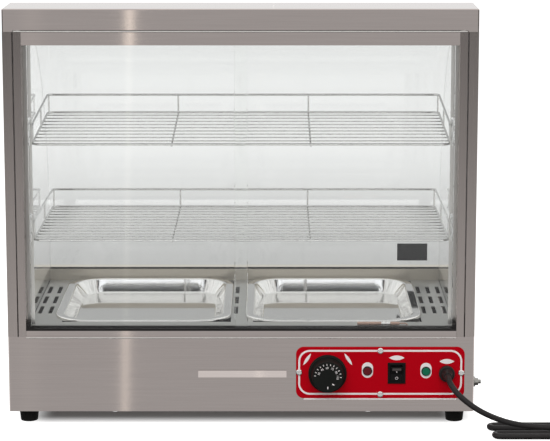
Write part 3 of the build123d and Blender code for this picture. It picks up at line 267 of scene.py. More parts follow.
def grained(name, dark, light, roughness, bump, grain, cloud, **sockets):
    """A moulded, painted or printed surface with fine grain and cloudy colour."""
    material = finish(name, **sockets)
    marks = place_group(material, speckle, Grain_Scale=grain, Cloud_Scale=cloud)
    shade_by(material, marks.outputs["Cloud"], dark, light)
    roughen_by(material, marks.outputs["Grain"], roughness)
    bump_by(material, marks.outputs["Grain"], bump, GRAIN_DEPTH)
    return material


LENS_RADIUS = 5.4
LENS_RING_COLOUR = (0.008, 0.008, 0.008, 1.0)


def lens(name, middle, dark, light):
    """A lamp's moulded lens inside its black ring."""
    material = grained(
        name, dark, light,
        roughness=(0.16, 0.30), bump=0.35, grain=420.0, cloud=120.0, Specular_IOR_Level=0.25,
    )
    tree = material.node_tree
    rim = place_group(material, ring, Centre=middle, Radius=LENS_RADIUS * MM)
    moulded = shader_of(material).inputs["Base Color"].links[0].from_socket
    ringed = add_node(
        tree, "ShaderNodeMix", {"Factor": rim.outputs["Outside"], "A": moulded, "B": LENS_RING_COLOUR},
        data_type="RGBA",
    )
    tree.links.new(ringed.outputs["Result"], shader_of(material).inputs["Base Color"])
    return material


GLASS_IOR = 1.5
GLASS_ROUGHNESS = (0.0, 0.03)
GLASS_CLOUD = 5.0


def clear(name, tint):
    """Clear glass that lets the studio's light into the chamber."""
    material = finish(name, Base_Color=(*tint, 1.0), Transmission_Weight=1.0, IOR=GLASS_IOR)
    tree = material.node_tree
    marks = place_group(material, speckle, Cloud_Scale=GLASS_CLOUD)
    roughen_by(material, marks.outputs["Cloud"], GLASS_ROUGHNESS)
    rays = add_node(tree, "ShaderNodeLightPath")
    lighting = reckon(tree, "MAXIMUM", rays.outputs["Is Shadow Ray"], rays.outputs["Is Diffuse Ray"])
    through = add_node(tree, "ShaderNodeBsdfTransparent", {"Color": (*tint, 1.0)})
    mixed = add_node(
        tree, "ShaderNodeMixShader",
        {0: lighting, 1: shader_of(material).outputs["BSDF"], 2: through.outputs["BSDF"]},
    )
    tree.links.new(mixed.outputs["Shader"], tree.nodes["Material Output"].inputs["Surface"])
    return material


# Finishes of this case
STEEL_DARK = (0.50, 0.445, 0.425)
STEEL_LIGHT = (0.62, 0.555, 0.53)
RED_LAMP_AT = (178.8, 79.4)
GREEN_LAMP_AT = (261.8, 78.9)

steel_across = brushed(
    "steel_brushed_across", ALONG_X, X_AXIS, STEEL_DARK, STEEL_LIGHT,
    roughness=(0.042, 0.062), anisotropy=0.98, bump=0.005,
)
steel_upright = brushed(
    "steel_brushed_upright", ALONG_Z, Z_AXIS, (0.38, 0.338, 0.32), (0.47, 0.42, 0.40),
    roughness=(0.20, 0.30), anisotropy=0.9,
)
steel_back = brushed(
    "steel_brushed_deep", ALONG_Y, Y_AXIS, STEEL_DARK, STEEL_LIGHT,
    roughness=(0.30, 0.46), anisotropy=0.75,
)
floor_steel = brushed(
    "steel_floor", ALONG_X, X_AXIS, (0.50, 0.50, 0.48), (0.60, 0.60, 0.58),
    roughness=(0.34, 0.48), anisotropy=0.4,
)
strip_steel = brushed(
    "steel_uprights", ALONG_Z, Z_AXIS, (0.56, 0.55, 0.53), (0.66, 0.65, 0.63),
    roughness=(0.30, 0.42), anisotropy=0.5,
)
sill_steel = brushed(
    "steel_sill", ALONG_X, X_AXIS, (0.62, 0.57, 0.49), (0.72, 0.67, 0.58),
    roughness=(0.30, 0.44), anisotropy=0.4,
)
liner_steel = brushed(
    "steel_liner", ALONG_X, X_AXIS, (0.82, 0.84, 0.88), (0.90, 0.92, 0.96),
    roughness=(0.28, 0.36), anisotropy=0.0,
)
trim_steel = brushed(
    "steel_bright_trim", (30.0, 400.0, 400.0), X_AXIS, (0.88, 0.86, 0.83), (0.95, 0.93, 0.90),
    roughness=(0.22, 0.32), anisotropy=0.0, bump=0.01,
)
pan_steel = even_metal(
    "steel_polished", 40.0, (0.78, 0.77, 0.75), (0.86, 0.85, 0.84),
    roughness=(0.03, 0.09), bump=0.01,
)
wire_chrome = even_metal(
    "wire_chrome", 220.0, (0.57, 0.57, 0.56), (0.63, 0.63, 0.62),
    roughness=(0.10, 0.16), bump=0.03,
)
fastener_steel = even_metal(
    "fastener_steel", 300.0, (0.84, 0.83, 0.81), (0.94, 0.93, 0.92),
    roughness=(0.16, 0.30), bump=0.08,
)
nut_steel = even_metal(
    "steel_nuts", 300.0, (0.28, 0.27, 0.25), (0.44, 0.43, 0.41),
    roughness=(0.18, 0.32), bump=0.08,
)
element_steel = even_metal(
    "element_heat_tinted", 60.0, (0.16, 0.13, 0.11), (0.34, 0.27, 0.22),
    roughness=(0.32, 0.52), bump=0.1,
)
bulb_copper = even_metal(
    "bulb_copper", 120.0, (0.52, 0.34, 0.27), (0.70, 0.47, 0.38),
    roughness=(0.22, 0.38), bump=0.08,
)
door_glass = clear("glass_doors", (0.985, 0.99, 0.985))
bent_pane_glass = clear("glass_bent_pane", (0.93, 0.945, 0.94))
red_enamel = grained(
    "red_enamel", (0.44, 0.0, 0.006), (0.52, 0.0005, 0.009),
    roughness=(0.26, 0.36), bump=0.05, grain=500.0, cloud=9.0, Specular_IOR_Level=0.06,
)
black_plastic = grained(
    "black_plastic", (0.007, 0.006, 0.006), (0.016, 0.015, 0.015),
    roughness=(0.42, 0.58), bump=0.12, grain=1400.0, cloud=30.0, Specular_IOR_Level=0.3,
)
dial_black = grained(
    "dial_black", (0.008, 0.009, 0.008), (0.013, 0.014, 0.013),
    roughness=(0.48, 0.62), bump=0.10, grain=1600.0, cloud=30.0, Specular_IOR_Level=0.08,
)
rocker_black = grained(
    "rocker_black", (0.004, 0.004, 0.004), (0.009, 0.009, 0.009),
    roughness=(0.30, 0.42), bump=0.06, grain=1500.0, cloud=60.0, Specular_IOR_Level=0.12,
)
black_rubber = grained(
    "black_rubber", (0.008, 0.008, 0.008), (0.018, 0.017, 0.016),
    roughness=(0.55, 0.75), bump=0.25, grain=1200.0, cloud=40.0, Specular_IOR_Level=0.08,
)
cord_rubber = grained(
    "cord_rubber", (0.014, 0.013, 0.013), (0.024, 0.022, 0.022),
    roughness=(0.38, 0.52), bump=0.15, grain=1500.0, cloud=40.0, Specular_IOR_Level=0.22,
)
red_lens = lens(
    "red_lens", place(RED_LAMP_AT[0], 0.0, RED_LAMP_AT[1]), (0.085, 0.004, 0.008), (0.15, 0.008, 0.014)
)
green_lens = lens(
    "green_lens", place(GREEN_LAMP_AT[0], 0.0, GREEN_LAMP_AT[1]), (0.0, 0.11, 0.055), (0.002, 0.20, 0.10)
)
pale_plastic = grained(
    "pale_plastic", (0.66, 0.63, 0.56), (0.76, 0.73, 0.66),
    roughness=(0.40, 0.52), bump=0.08, grain=1200.0, cloud=20.0,
)
# Grey for the rocker's upper end: a painted highlight where light from above falls on its raised top
painted_highlight_grey = grained(
    "painted_highlight_grey", (0.085, 0.072, 0.070), (0.115, 0.100, 0.098),
    roughness=(0.34, 0.46), bump=0.06, grain=1200.0, cloud=200.0,
)
dark_label = grained(
    "dark_label", (0.008, 0.008, 0.010), (0.016, 0.016, 0.018),
    roughness=(0.34, 0.46), bump=0.05, grain=900.0, cloud=60.0, Specular_IOR_Level=0.15,
)
# White for print, and also for the painted glint under the red panel
print_and_glint_white = grained(
    "print_and_glint_white", (0.84, 0.78, 0.79), (0.94, 0.90, 0.91),
    roughness=(0.40, 0.52), bump=0.05, grain=900.0, cloud=90.0,
)

WORN_BY = (
    (steel_across, "base_shell top_cap frame_top frame_bottom drip_tray base_cover"),
    (liner_steel, "cap_liner"),
    (steel_upright, "post_left post_right frame_side_left frame_side_right"),
    (strip_steel, "upright_left upright_right"),
    (sill_steel, "sill_frame"),
    (steel_back, "drip_guides element_brackets"),
    (floor_steel, "floor_plate"),
    (pan_steel, "tray_left tray_right"),
    (wire_chrome, "shelf_upper shelf_lower"),
    (fastener_steel, "panel_screws cover_screws foot_screws thermostat_shaft bulb_clip"),
    (nut_steel, "bond_stud bond_nuts"),
    (element_steel, "element_left element_right"),
    (bulb_copper, "sensor_bulb capillary"),
    (door_glass, "door_left door_right side_glass_left side_glass_right"),
    (bent_pane_glass, "bent_glass"),
    (red_enamel, "control_panel"),
    (black_plastic, "track_bottom track_top track_stops cable_gland gland_nut plug cord_tie"),
    (dial_black, "knob"),
    (rocker_black, "rocker_housing rocker_button"),
    (black_rubber, "feet side_seals rear_seal top_seal"),
    (red_lens, "lamp_red"),
    (green_lens, "lamp_green"),
    (pale_plastic, "terminal_block thermostat_body"),
    (dark_label, "label_plate"),
)
for material, names in WORN_BY:
    for name in names.split():
        wear(nodes[name], material)

# Mains lead: the part's route, then the hank's runs and folds
CORD_DIAMETER = 8.2
CORD_ROUTE = [
    (291.2, -22.0, 76.0), (291.2, -32.0, 76.0), (292.2, -41.5, 73.3), (296.0, -50.0, 67.9),
    (301.3, -56.5, 61.6), (308.8, -61.0, 54.9), (317.9, -64.0, 48.0), (328.5, -66.0, 40.8),
    (342.0, -66.6, 33.4), (358.0, -65.5, 26.2), (376.0, -64.0, 20.0), (398.0, -64.0, 16.0),
    (423.0, -66.3, 14.5), (448.0, -69.0, 14.4), (473.0, -70.0, 14.4), (496.0, -70.0, 14.4),
]
HANK_LOW_Z = 5.7
HANK_HIGH_Z = 14.4
HANK_RIGHT_X = 545.0
HANK_RUN_END = 14.0
HANK_FIRST_Y = -70.0
HANK_BACK_Y = -22.0
HANK_DROP_X = (541.0, 485.0)
FOLD_POINTS = 4
PLUG_Y = -141.0
PLUG_Z = 19.5
PLUG_TURN_X = 560.0
PLUG_RISE_X = (553.0, 527.0)
PLUG_MOUTH_X = 510.0
# A fold at the left and the next one at the right: each has its x and the y that it leads to
HANK_FOLDS = (
    (359.0, -39.0, HANK_RIGHT_X, -65.0),
    (362.5, -82.0, HANK_RIGHT_X, -99.0),
    (455.0, -116.0, PLUG_TURN_X, PLUG_Y),
)


def fold(x, from_y, to_y, z, outwards):
    """Control points of a half turn between two strands, round the ends of the runs at x."""
    reach = (to_y - from_y) / 2
    step = pi / FOLD_POINTS
    spread = 1 / cos(step / 2)
    points = []
    for i in range(FOLD_POINTS):
        turn = -pi / 2 + step * (i + 0.5)
        fold_x = x + outwards * abs(reach) * spread * cos(turn)
        fold_y = (from_y + to_y) / 2 + reach * spread * sin(turn)
        points.append((fold_x, fold_y, z))
    return points


def hank_points():
    """Runs along X joined by half turns, first on top of the others and then flat on the counter."""
    points = [(HANK_RIGHT_X - HANK_RUN_END, HANK_FIRST_Y, HANK_HIGH_Z)]
    points += fold(HANK_RIGHT_X, HANK_FIRST_Y, HANK_BACK_Y, HANK_HIGH_Z, 1)
    points += [(HANK_DROP_X[0], HANK_BACK_Y, HANK_HIGH_Z), (HANK_DROP_X[1], HANK_BACK_Y, HANK_LOW_Z)]
    here_y = HANK_BACK_Y
    for left_x, left_y, right_x, right_y in HANK_FOLDS:
        points.append((left_x + HANK_RUN_END, here_y, HANK_LOW_Z))
        points += fold(left_x, here_y, left_y, HANK_LOW_Z, -1)
        points.append((left_x + HANK_RUN_END, left_y, HANK_LOW_Z))
        points.append((right_x - HANK_RUN_END, left_y, HANK_LOW_Z))
        points += fold(right_x, left_y, right_y, HANK_LOW_Z, 1)
        if right_y != PLUG_Y:
            points.append((right_x - HANK_RUN_END, right_y, HANK_LOW_Z))
        here_y = right_y
    points.append((PLUG_RISE_X[0], PLUG_Y, HANK_LOW_Z))
    points.append((PLUG_RISE_X[1], PLUG_Y, PLUG_Z))
    points.append((PLUG_MOUTH_X, PLUG_Y, PLUG_Z))
    return points


def mains_lead():
    line = bpy.data.curves.new("mains_lead", "CURVE")
    line.dimensions = "3D"
    spline = line.splines.new("NURBS")
    points = [place(*point) for point in CORD_ROUTE + hank_points()]
    spline.points.add(len(points) - 1)
    for control, point in zip(spline.points, points):
        control.co = (*point, 1.0)
    spline.order_u = 3
    spline.use_endpoint_u = True
    spline.resolution_u = 10
    line.bevel_depth = CORD_DIAMETER / 2 * MM
    line.bevel_resolution = 6
    line.use_fill_caps = True
    lead = bpy.data.objects.new("mains_lead", line)
    bpy.context.scene.collection.objects.link(lead)
    # The finish of the base is smoother than real brushing, which would blur the lead's mirror image away
    lead.visible_glossy = False
    wear(lead, cord_rubber)
    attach(lead, "case")
    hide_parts("cord", "cord_hank")


mains_lead()

# Drawings for the marks and small plates on the controls, flat and in millimetres
PRINT = 0.15
WELD = 1e-7


def piece(name, mesh, body, material, slot):
    """Turns a finished bmesh, already in place, into a piece that rides on a body."""
    bmesh.ops.remove_doubles(mesh, verts=mesh.verts, dist=WELD)
    bmesh.ops.recalc_face_normals(mesh, faces=mesh.faces)
    data = bpy.data.meshes.new(name)
    mesh.to_mesh(data)
    mesh.free()
    made = bpy.data.objects.new(name, data)
    bpy.context.scene.collection.objects.link(made)
    wear(made, material)
    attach(made, body)
    return made


def on_front(x, y, z, turn=0.0, lean=0.0):
    """Stands a drawing up on the front, with its right along X and its up along Z.

    Turn is anticlockwise and lean tips it forward, both in degrees.
    """
    upright = Matrix.Rotation(radians(90.0 + lean), 4, "X") @ Matrix.Rotation(radians(turn), 4, "Z")
    return Matrix.Translation(place(x, y, z)) @ upright @ Matrix.Scale(MM, 4)


def pull(mesh, faces, vector):
    """Extrudes faces along a vector."""
    grown = bmesh.ops.extrude_face_region(mesh, geom=faces)
    pulled = [part for part in grown["geom"] if isinstance(part, bmesh.types.BMVert)]
    bmesh.ops.translate(mesh, verts=pulled, vec=vector)


def print_flat(mesh, matrix):
    """Gives a flat drawing the thickness of print, towards the operator, and puts it in place."""
    pull(mesh, mesh.faces[:], (0.0, 0.0, PRINT))
    bmesh.ops.transform(mesh, matrix=matrix, verts=mesh.verts)


def rounded_plate(mesh, width, height, corner, segments):
    """A flat rectangle with round corners."""
    bmesh.ops.create_grid(mesh, x_segments=1, y_segments=1, size=0.5)
    bmesh.ops.scale(mesh, verts=mesh.verts, vec=(width, height, 1.0))
    bmesh.ops.bevel(
        mesh, geom=mesh.verts[:], offset=corner, affect="VERTICES",
        segments=segments, profile=0.5, material=-1,
    )


def add_drawing(mesh, matrix, drawing):
    """Adds a drawn shape to a mesh in its own place."""
    before = set(mesh.verts)
    drawing(mesh)
    drawn = [vert for vert in mesh.verts if vert not in before]
    bmesh.ops.transform(mesh, matrix=matrix, verts=drawn)


def bar(width, height, thick=PRINT):
    """A drawing of a small raised bar."""
    def draw(mesh):
        size = Matrix.Diagonal((width, height, thick, 1.0))
        bmesh.ops.create_cube(mesh, size=1.0, matrix=Matrix.Translation((0, 0, thick / 2)) @ size)
    return draw


def flat_text(text, size):
    """A drawing of a short text, centred on the origin."""
    def draw(mesh):
        written = bpy.data.curves.new("lettering", "FONT")
        written.body = text
        written.size = size
        written.align_x = "CENTER"
        written.align_y = "CENTER"
        carrier = bpy.data.objects.new("lettering", written)
        bpy.context.scene.collection.objects.link(carrier)
        bpy.context.view_layer.update()
        flat = bpy.data.meshes.new_from_object(carrier.evaluated_get(bpy.context.evaluated_depsgraph_get()))
        mesh.from_mesh(flat)
        bpy.data.objects.remove(carrier)
        bpy.data.curves.remove(written)
        bpy.data.meshes.remove(flat)
    return draw


# Border, tags and bright strips round the red panel; the white strip under the panel is a painted glint
PANEL_FACE_Y = -1.5
BORDER_X = (82.0, 311.7)
BORDER_Z = (45.9, 108.6)
BORDER_LINE = 2.6
BORDER_CORNER = 16.5
BORDER_SEGMENTS = 14


def panel_border():
    mesh = bmesh.new()
    width = BORDER_X[1] - BORDER_X[0] + BORDER_LINE
    height = BORDER_Z[1] - BORDER_Z[0] + BORDER_LINE
    rounded_plate(mesh, width, height, BORDER_CORNER, BORDER_SEGMENTS)
    rim = bmesh.ops.inset_region(
        mesh, faces=mesh.faces[:], thickness=BORDER_LINE, use_even_offset=True, use_boundary=True
    )
    inner = [face for face in mesh.faces if face not in rim["faces"]]
    bmesh.ops.delete(mesh, geom=inner, context="FACES")
    print_flat(mesh, on_front(sum(BORDER_X) / 2, PANEL_FACE_Y, sum(BORDER_Z) / 2))
    piece("panel_border", mesh, "case", print_and_glint_white, "pale_plastic")


TAG_SIZE = (15.9, 22.4)
TAG_CORNER = 7.9
TAG_SEGMENTS = 12
LAMP_TAGS = {"red": (RED_LAMP_AT[0], 80.6), "green": (GREEN_LAMP_AT[0], 79.9)}


def lamp_tags():
    for colour, (x, z) in LAMP_TAGS.items():
        mesh = bmesh.new()
        rounded_plate(mesh, *TAG_SIZE, TAG_CORNER, TAG_SEGMENTS)
        print_flat(mesh, on_front(x, PANEL_FACE_Y, z))
        piece("lamp_tag_" + colour, mesh, "case", print_and_glint_white, "pale_plastic")


# Each pointed oval's middle, length, width and turn
OVAL_TAGS = {
    "rocker": (220.2, 98.4, 21.7, 6.9, 0.0),
    "lead": (291.3, 93.2, 20.8, 7.0, 0.0),
    "dial_left": (93.2, 96.3, 20.0, 4.3, 57.0),
    "dial_right": (151.6, 96.3, 20.0, 4.3, -57.0),
}
ARC_SEGMENTS = 240
OVAL_WELD = 0.001


def oval_tags():
    """Pointed ovals, each made of two arcs."""
    for label, (x, z, long, short, turn) in OVAL_TAGS.items():
        mesh = bmesh.new()
        arc_radius = (long**2 + short**2) / (4 * short)
        bmesh.ops.create_circle(mesh, cap_ends=True, segments=ARC_SEGMENTS, radius=arc_radius)
        bmesh.ops.translate(mesh, verts=mesh.verts, vec=(0.0, short / 2 - arc_radius, 0.0))
        bmesh.ops.bisect_plane(
            mesh, geom=mesh.verts[:] + mesh.edges[:] + mesh.faces[:], plane_co=(0, 0, 0), plane_no=(0, 1, 0),
            clear_inner=True,
        )
        lower = bmesh.ops.duplicate(mesh, geom=mesh.verts[:] + mesh.edges[:] + mesh.faces[:])
        lower_verts = [part for part in lower["geom"] if isinstance(part, bmesh.types.BMVert)]
        bmesh.ops.rotate(mesh, verts=lower_verts, cent=(0, 0, 0), matrix=Matrix.Rotation(pi, 3, "Z"))
        bmesh.ops.remove_doubles(mesh, verts=mesh.verts, dist=OVAL_WELD)
        print_flat(mesh, on_front(x, PANEL_FACE_Y, z, turn))
        piece("tag_" + label, mesh, "case", print_and_glint_white, "pale_plastic")


PANEL_X = (77.5, 316.5)
PANEL_LOW_Z = 39.4
PANEL_CORNER = 11.0
GLINT_HEIGHT = 2.0
GLINT_THICK = 1.3
HEAD_BEAD = {"x": (-313.8, 313.8), "y": -0.1, "z": 561.1, "radius": 1.0}
SILL_BEAD = {"x": (-304.0, 304.0), "y": -0.1, "z": 126.9, "radius": 0.75}
BEAD_SEGMENTS = 16


def bright_bead(name, x, y, z, radius):
    """The polished skin of a thin round bead along the front."""
    mesh = bmesh.new()
    bmesh.ops.create_circle(mesh, cap_ends=True, segments=BEAD_SEGMENTS, radius=radius)
    bmesh.ops.rotate(mesh, verts=mesh.verts, cent=(0, 0, 0), matrix=Matrix.Rotation(radians(90.0), 3, "Y"))
    pull(mesh, mesh.faces[:], (x[1] - x[0], 0.0, 0.0))
    bmesh.ops.transform(mesh, matrix=on_front(x[0], y, z), verts=mesh.verts)
    piece(name, mesh, "case", trim_steel, "fastener_steel")


def bright_strips():
    """A white strip under the panel's lower edge as a painted glint, and the two beads."""
    mesh = bmesh.new()
    # The strip stands in for the glint of the panel's rounded lower edge: a painted highlight
    glint_length = PANEL_X[1] - PANEL_X[0] - 2 * PANEL_CORNER
    glint_at = on_front(sum(PANEL_X) / 2, 0.0, PANEL_LOW_Z - GLINT_HEIGHT / 2)
    add_drawing(mesh, glint_at, bar(glint_length, GLINT_HEIGHT, GLINT_THICK))
    piece("panel_edge_glint", mesh, "case", print_and_glint_white, "pale_plastic")
    bright_bead("head_bead", **HEAD_BEAD)
    bright_bead("sill_bead", **SILL_BEAD)


# Marks on the dial and the rocker
DIAL_AT = (122.2, 75.7)
DIAL_FACE_Y = -25.0
DIAL_TICKS = 12
DIAL_FIRST = 173.0
DIAL_LAST = 0.0
TICK_RADII = (17.0, 19.4)
TICK_WIDTH = 0.9
NUMERAL_RADIUS = 13.6
NUMERAL_SIZE = 4.2
NUMERALS = ("30", "45", "60", "75", "90", "110")
# The two marks low on the dial: x and z from its middle, turn, width and height
LOW_MARKS = ((0.0, -15.2, 0.0, 1.2, 3.4), (7.6, -10.4, -28.0, 3.2, 1.4))


def dial_marks():
    mesh = bmesh.new()
    step = (DIAL_LAST - DIAL_FIRST) / (DIAL_TICKS - 1)
    tick_middle = sum(TICK_RADII) / 2
    x, z = DIAL_AT
    for i in range(DIAL_TICKS):
        turn = DIAL_FIRST + step * i
        across = cos(radians(turn))
        up = sin(radians(turn))
        spot = on_front(x + tick_middle * across, DIAL_FACE_Y, z + tick_middle * up, turn)
        add_drawing(mesh, spot, bar(TICK_RADII[1] - TICK_RADII[0], TICK_WIDTH))
        if i % 2 == 1:
            spot = on_front(
                x + NUMERAL_RADIUS * across, DIAL_FACE_Y - PRINT, z + NUMERAL_RADIUS * up, turn - 90.0
            )
            add_drawing(mesh, spot, flat_text(NUMERALS[i // 2], NUMERAL_SIZE))
    for mark_x, mark_z, turn, width, height in LOW_MARKS:
        add_drawing(mesh, on_front(x + mark_x, DIAL_FACE_Y, z + mark_z, turn), bar(width, height))
    piece("dial_marks", mesh, "dial", print_and_glint_white, "pale_plastic")


ROCKER_AT = (220.2, 76.2)
ROCKER_UPPER_LEAN = 20.5
# The grey bar's size and place on the rocker's upper half are those of a painted highlight
ROCKER_HIGHLIGHT_BAR = (12.6, 3.8)
ROCKER_HIGHLIGHT_BAR_AT = (-6.86, 6.4)
LETTER_I = (0.8, 2.6)
LETTER_I_AT = (-5.37, 2.4)
LETTER_O_AT = (-4.20, -6.8)
LETTER_O_RADIUS = 2.1
LETTER_O_SEGMENTS = 32
LETTER_LINE = 0.6


def letter_o(mesh):
    """A drawing of a raised ring."""
    made = bmesh.ops.create_circle(mesh, cap_ends=True, segments=LETTER_O_SEGMENTS, radius=LETTER_O_RADIUS)
    disc = [face for face in mesh.faces if all(vert in made["verts"] for vert in face.verts)]
    rim = bmesh.ops.inset_region(
        mesh, faces=disc, thickness=LETTER_LINE, use_even_offset=True, use_boundary=True
    )
    bmesh.ops.delete(mesh, geom=[face for face in disc if face.is_valid], context="FACES")
    pull(mesh, rim["faces"], (0.0, 0.0, PRINT))


def on_rocker(at, lean=0.0):
    """Stands a drawing up on the rocker, at a depth and a height from its middle."""
    return on_front(ROCKER_AT[0], at[0], ROCKER_AT[1] + at[1], 0.0, lean)


def rocker_marks():
    mesh = bmesh.new()
    add_drawing(mesh, on_rocker(LETTER_I_AT, ROCKER_UPPER_LEAN), bar(*LETTER_I))
    add_drawing(mesh, on_rocker(LETTER_O_AT), letter_o)
    piece("rocker_marks", mesh, "rocker", print_and_glint_white, "pale_plastic")
    # A grey bar high on the rocker: a painted highlight, where the raised upper end catches light from above
    highlight_bar = bmesh.new()
    add_drawing(highlight_bar, on_rocker(ROCKER_HIGHLIGHT_BAR_AT, ROCKER_UPPER_LEAN), bar(*ROCKER_HIGHLIGHT_BAR))
    piece("rocker_painted_highlight", highlight_bar, "rocker", painted_highlight_grey, "black_plastic")


panel_border()
lamp_tags()
oval_tags()
bright_strips()
dial_marks()
rocker_marks()

# Studio floor, in metres: white, with a shadow under the case that the lamps cast and a glow round the
# footprint paints in; grey where glass shows it, with painted shade near the case
FLOOR_SIZE = 40.0
FLOOR_IN_LIGHT = (0.30, 0.30, 0.30)
FLOOR_IN_VIEW = (0.62, 0.62, 0.62)
FOOTPRINT = (0.277, 0.135, 0.0)
PAINTED_SHADOW_REACH = 0.06
PAINTED_SHADOW_LEVELS = (0.02, 1.0)
# Through the glass the floor glows less near the case than far off: painted shade round the case
ROOM_RADII = (0.4, 2.9)
ROOM_LEVELS = (0.28, 0.85)
# A strip of floor in front that glows, seen only through the glass: painted light, which lights the cap's
# lining through the doors and so shows in the trays
LIGHT_STRIP_LEVEL = 2.2
LIGHT_STRIP_MIDDLE = -0.54
LIGHT_STRIP_REACH = (0.12, 0.20)


def studio_floor():
    mesh = bmesh.new()
    bmesh.ops.create_grid(mesh, x_segments=1, y_segments=1, size=FLOOR_SIZE / 2)
    data = bpy.data.meshes.new("floor")
    mesh.to_mesh(data)
    mesh.free()
    floor = bpy.data.objects.new("floor", data)
    bpy.context.scene.collection.objects.link(floor)
    paint = finish("studio_floor", Roughness=0.9, Specular_IOR_Level=0.0, Emission_Color=WHITE)
    tree = paint.node_tree
    where = add_node(tree, "ShaderNodeTexCoord").outputs["Object"]
    outward = reckon_vector(tree, "ABSOLUTE", where)
    beyond = reckon_vector(tree, "SUBTRACT", outward, FOOTPRINT)
    beside = reckon_vector(tree, "MAXIMUM", beyond, (0.0, 0.0, 0.0))
    # The camera sees a glow that is faint inside the footprint and white just beyond it: a painted shadow
    # under the case, on top of the lamps' own
    white = ramp(tree, vector_length(tree, beside), (0.0, PAINTED_SHADOW_REACH), PAINTED_SHADOW_LEVELS)
    # Painted shade: the floor seen through the glass glows less near the case
    room = ramp(tree, vector_length(tree, where), ROOM_RADII, ROOM_LEVELS)
    depth = add_node(tree, "ShaderNodeSeparateXYZ", {"Vector": where}).outputs["Y"]
    # The glowing strip of floor, painted light seen only through the glass
    off_light_strip = reckon(tree, "ABSOLUTE", reckon(tree, "SUBTRACT", depth, LIGHT_STRIP_MIDDLE))
    through_glass = ramp(tree, off_light_strip, LIGHT_STRIP_REACH, (LIGHT_STRIP_LEVEL, room))
    rays = add_node(tree, "ShaderNodeLightPath")
    glow = 0.0
    for kind, level in (("Is Transmission Ray", through_glass), ("Is Camera Ray", white)):
        chosen = add_node(tree, "ShaderNodeMix", {"Factor": rays.outputs[kind], "A": glow, "B": level})
        glow = chosen.outputs["Result"]
    tree.links.new(glow, shader_of(paint).inputs["Emission Strength"])
    shade_by(paint, rays.outputs["Is Camera Ray"], FLOOR_IN_LIGHT, FLOOR_IN_VIEW)
    wear(floor, paint)
    floor.visible_glossy = False


# What steel mirrors: a grey wall ahead, corners dark at mid height, dark ground, a pale room behind
WALL_GLOSS = 0.56
WALL_SLOPES = (0.125, 0.18)
CORNER_GLOSS = (0.88, 0.0)
CORNER_HEIGHTS = (-0.21, -0.095)
CORNER_TOP = (0.02, 0.10)
GROUND_GLOSS = 0.12
GROUND_HEIGHTS = (-0.55, -0.30)
REAR_GLOSS = 0.93
REAR_DEPTHS = (-0.5, 0.6)
HIGH_GLOSS = 1.0
HIGH_HEIGHTS = (0.3, 0.7)
LEAST_FORWARD = 0.01
# Tall narrow windows in front, mirrored as upright streaks: sideways slope, half width, brightness
STREAKS = ((-0.0605, 0.0023, 1.5), (-0.103, 0.008, 0.06))
STREAK_LEAN = -0.024
STREAK_COLOUR = (1.0, 0.93, 0.81, 1.0)
STREAK_HEIGHTS = (-0.24, -0.10)
STREAK_SHARES = (0.5, 1.0)
# What is seen through the glass, low, to the sides and overhead
LOW_ROOM = (0.82, 0.48)
LOW_ROOM_HEIGHTS = (0.05, 0.22)
SIDE_ROOM = 1.1
SIDE_ROOM_REACH = (0.35, 0.8)
OVERHEAD_ROOM = 1.0
OVERHEAD_HEIGHTS = (0.3, 0.8)
AMBIENT = 0.30
AMBIENT_COLOUR = (1.0, 0.985, 0.97, 1.0)


def front_slope(tree, towards):
    """How far a mirrored ray leans sideways for each metre that it runs forward."""
    forward = reckon(tree, "MULTIPLY", towards["Y"], -1.0)
    return reckon(tree, "DIVIDE", towards["X"], reckon(tree, "MAXIMUM", forward, LEAST_FORWARD))


def mirrored_room(tree, towards, slope):
    """The level that steel mirrors from each direction."""
    corner = ramp(tree, towards["Z"], CORNER_HEIGHTS, CORNER_GLOSS)
    corner = ramp(tree, towards["Z"], CORNER_TOP, (corner, REAR_GLOSS))
    wall = ramp(tree, reckon(tree, "ABSOLUTE", slope), WALL_SLOPES, (WALL_GLOSS, corner))
    around = ramp(tree, towards["Y"], REAR_DEPTHS, (wall, REAR_GLOSS))
    above = ramp(tree, towards["Z"], HIGH_HEIGHTS, (around, HIGH_GLOSS))
    return ramp(tree, towards["Z"], GROUND_HEIGHTS, (GROUND_GLOSS, above))


def streak_level(tree, towards, slope):
    """The level of the tall windows that steel mirrors from the front."""
    share = ramp(tree, towards["Z"], STREAK_HEIGHTS, STREAK_SHARES, "LINEAR")
    leaning = reckon(tree, "MULTIPLY_ADD", towards["Z"], STREAK_LEAN, slope)
    level = 0.0
    for middle, half_width, brightness in STREAKS:
        off = reckon(tree, "ABSOLUTE", reckon(tree, "SUBTRACT", leaning, middle))
        glow = ramp(tree, off, (0.0, half_width), (brightness, 0.0))
        level = reckon(tree, "MULTIPLY_ADD", glow, share, level)
    return level


def room_through_glass(tree, towards):
    """The level that is seen through the glass in each direction."""
    low = ramp(tree, towards["Z"], LOW_ROOM_HEIGHTS, LOW_ROOM)
    sides = ramp(tree, reckon(tree, "ABSOLUTE", towards["X"]), SIDE_ROOM_REACH, (low, SIDE_ROOM))
    return ramp(tree, towards["Z"], OVERHEAD_HEIGHTS, (sides, OVERHEAD_ROOM))


def glow_of(tree, strength, colour=WHITE):
    node = add_node(tree, "ShaderNodeBackground", {"Color": colour, "Strength": strength})
    return node.outputs["Background"]


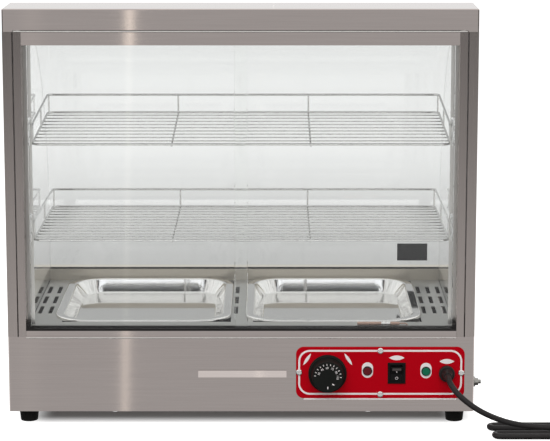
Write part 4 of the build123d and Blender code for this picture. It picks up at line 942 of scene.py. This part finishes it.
def studio_world():
    world = bpy.data.worlds.new("studio")
    bpy.context.scene.world = world
    world.use_nodes = True
    tree = world.node_tree
    tree.nodes.clear()
    direction = add_node(tree, "ShaderNodeTexCoord").outputs["Generated"]
    towards = add_node(tree, "ShaderNodeSeparateXYZ", {"Vector": direction}).outputs
    slope = front_slope(tree, towards)
    room = glow_of(tree, mirrored_room(tree, towards, slope))
    streaks = glow_of(tree, streak_level(tree, towards, slope), STREAK_COLOUR)
    mirrored = add_node(tree, "ShaderNodeAddShader", {0: room, 1: streaks}).outputs["Shader"]
    beyond = glow_of(tree, room_through_glass(tree, towards))
    white = glow_of(tree, 1.0)
    rays = add_node(tree, "ShaderNodeLightPath")
    shown = glow_of(tree, AMBIENT, AMBIENT_COLOUR)
    # A transmitted ray counts as glossy too, so what the glass shows comes after what steel mirrors
    glows = {"Is Glossy Ray": mirrored, "Is Transmission Ray": beyond, "Is Camera Ray": white}
    for kind, glow in glows.items():
        chosen = add_node(tree, "ShaderNodeMixShader", {0: rays.outputs[kind], 1: shown, 2: glow})
        shown = chosen.outputs["Shader"]
    end = tree.nodes.new("ShaderNodeOutputWorld")
    tree.links.new(shown, end.inputs["Surface"])


# Soft lamps, in metres and watts, which light the case without a glare on the steel
DAYLIGHT = (1.0, 0.985, 0.965)
OVERHEAD_LIGHT = (1.0, 0.99, 0.98)
LAMPS = (
    {"name": "key", "at": (-0.2, -1.9, 2.2), "towards": (0.0, 0.0, 0.1),
     "size": (2.2, 1.4), "watts": 34.0, "colour": DAYLIGHT},
    {"name": "front_wash", "at": (0.0, -2.2, 0.9), "towards": (0.0, -0.1, 0.1),
     "size": (2.4, 1.2), "watts": 15.0, "colour": DAYLIGHT},
    {"name": "overhead", "at": (0.0, 0.3, 2.4), "towards": (0.0, 0.1, 0.0),
     "size": (2.0, 1.6), "watts": 12.0, "colour": OVERHEAD_LIGHT},
)


def softbox(name, at, towards, size, watts, colour):
    """A rectangular lamp that faces a point."""
    lamp = bpy.data.lights.new(name, "AREA")
    lamp.shape = "RECTANGLE"
    lamp.size, lamp.size_y = size
    lamp.energy = watts
    lamp.color = colour
    held = bpy.data.objects.new(name, lamp)
    held.location = at
    held.rotation_euler = (Vector(towards) - Vector(at)).to_track_quat("-Z", "Y").to_euler()
    held.visible_camera = False
    held.visible_transmission = False
    held.visible_glossy = False
    bpy.context.scene.collection.objects.link(held)


studio_floor()
studio_world()
for lamp in LAMPS:
    softbox(**lamp)
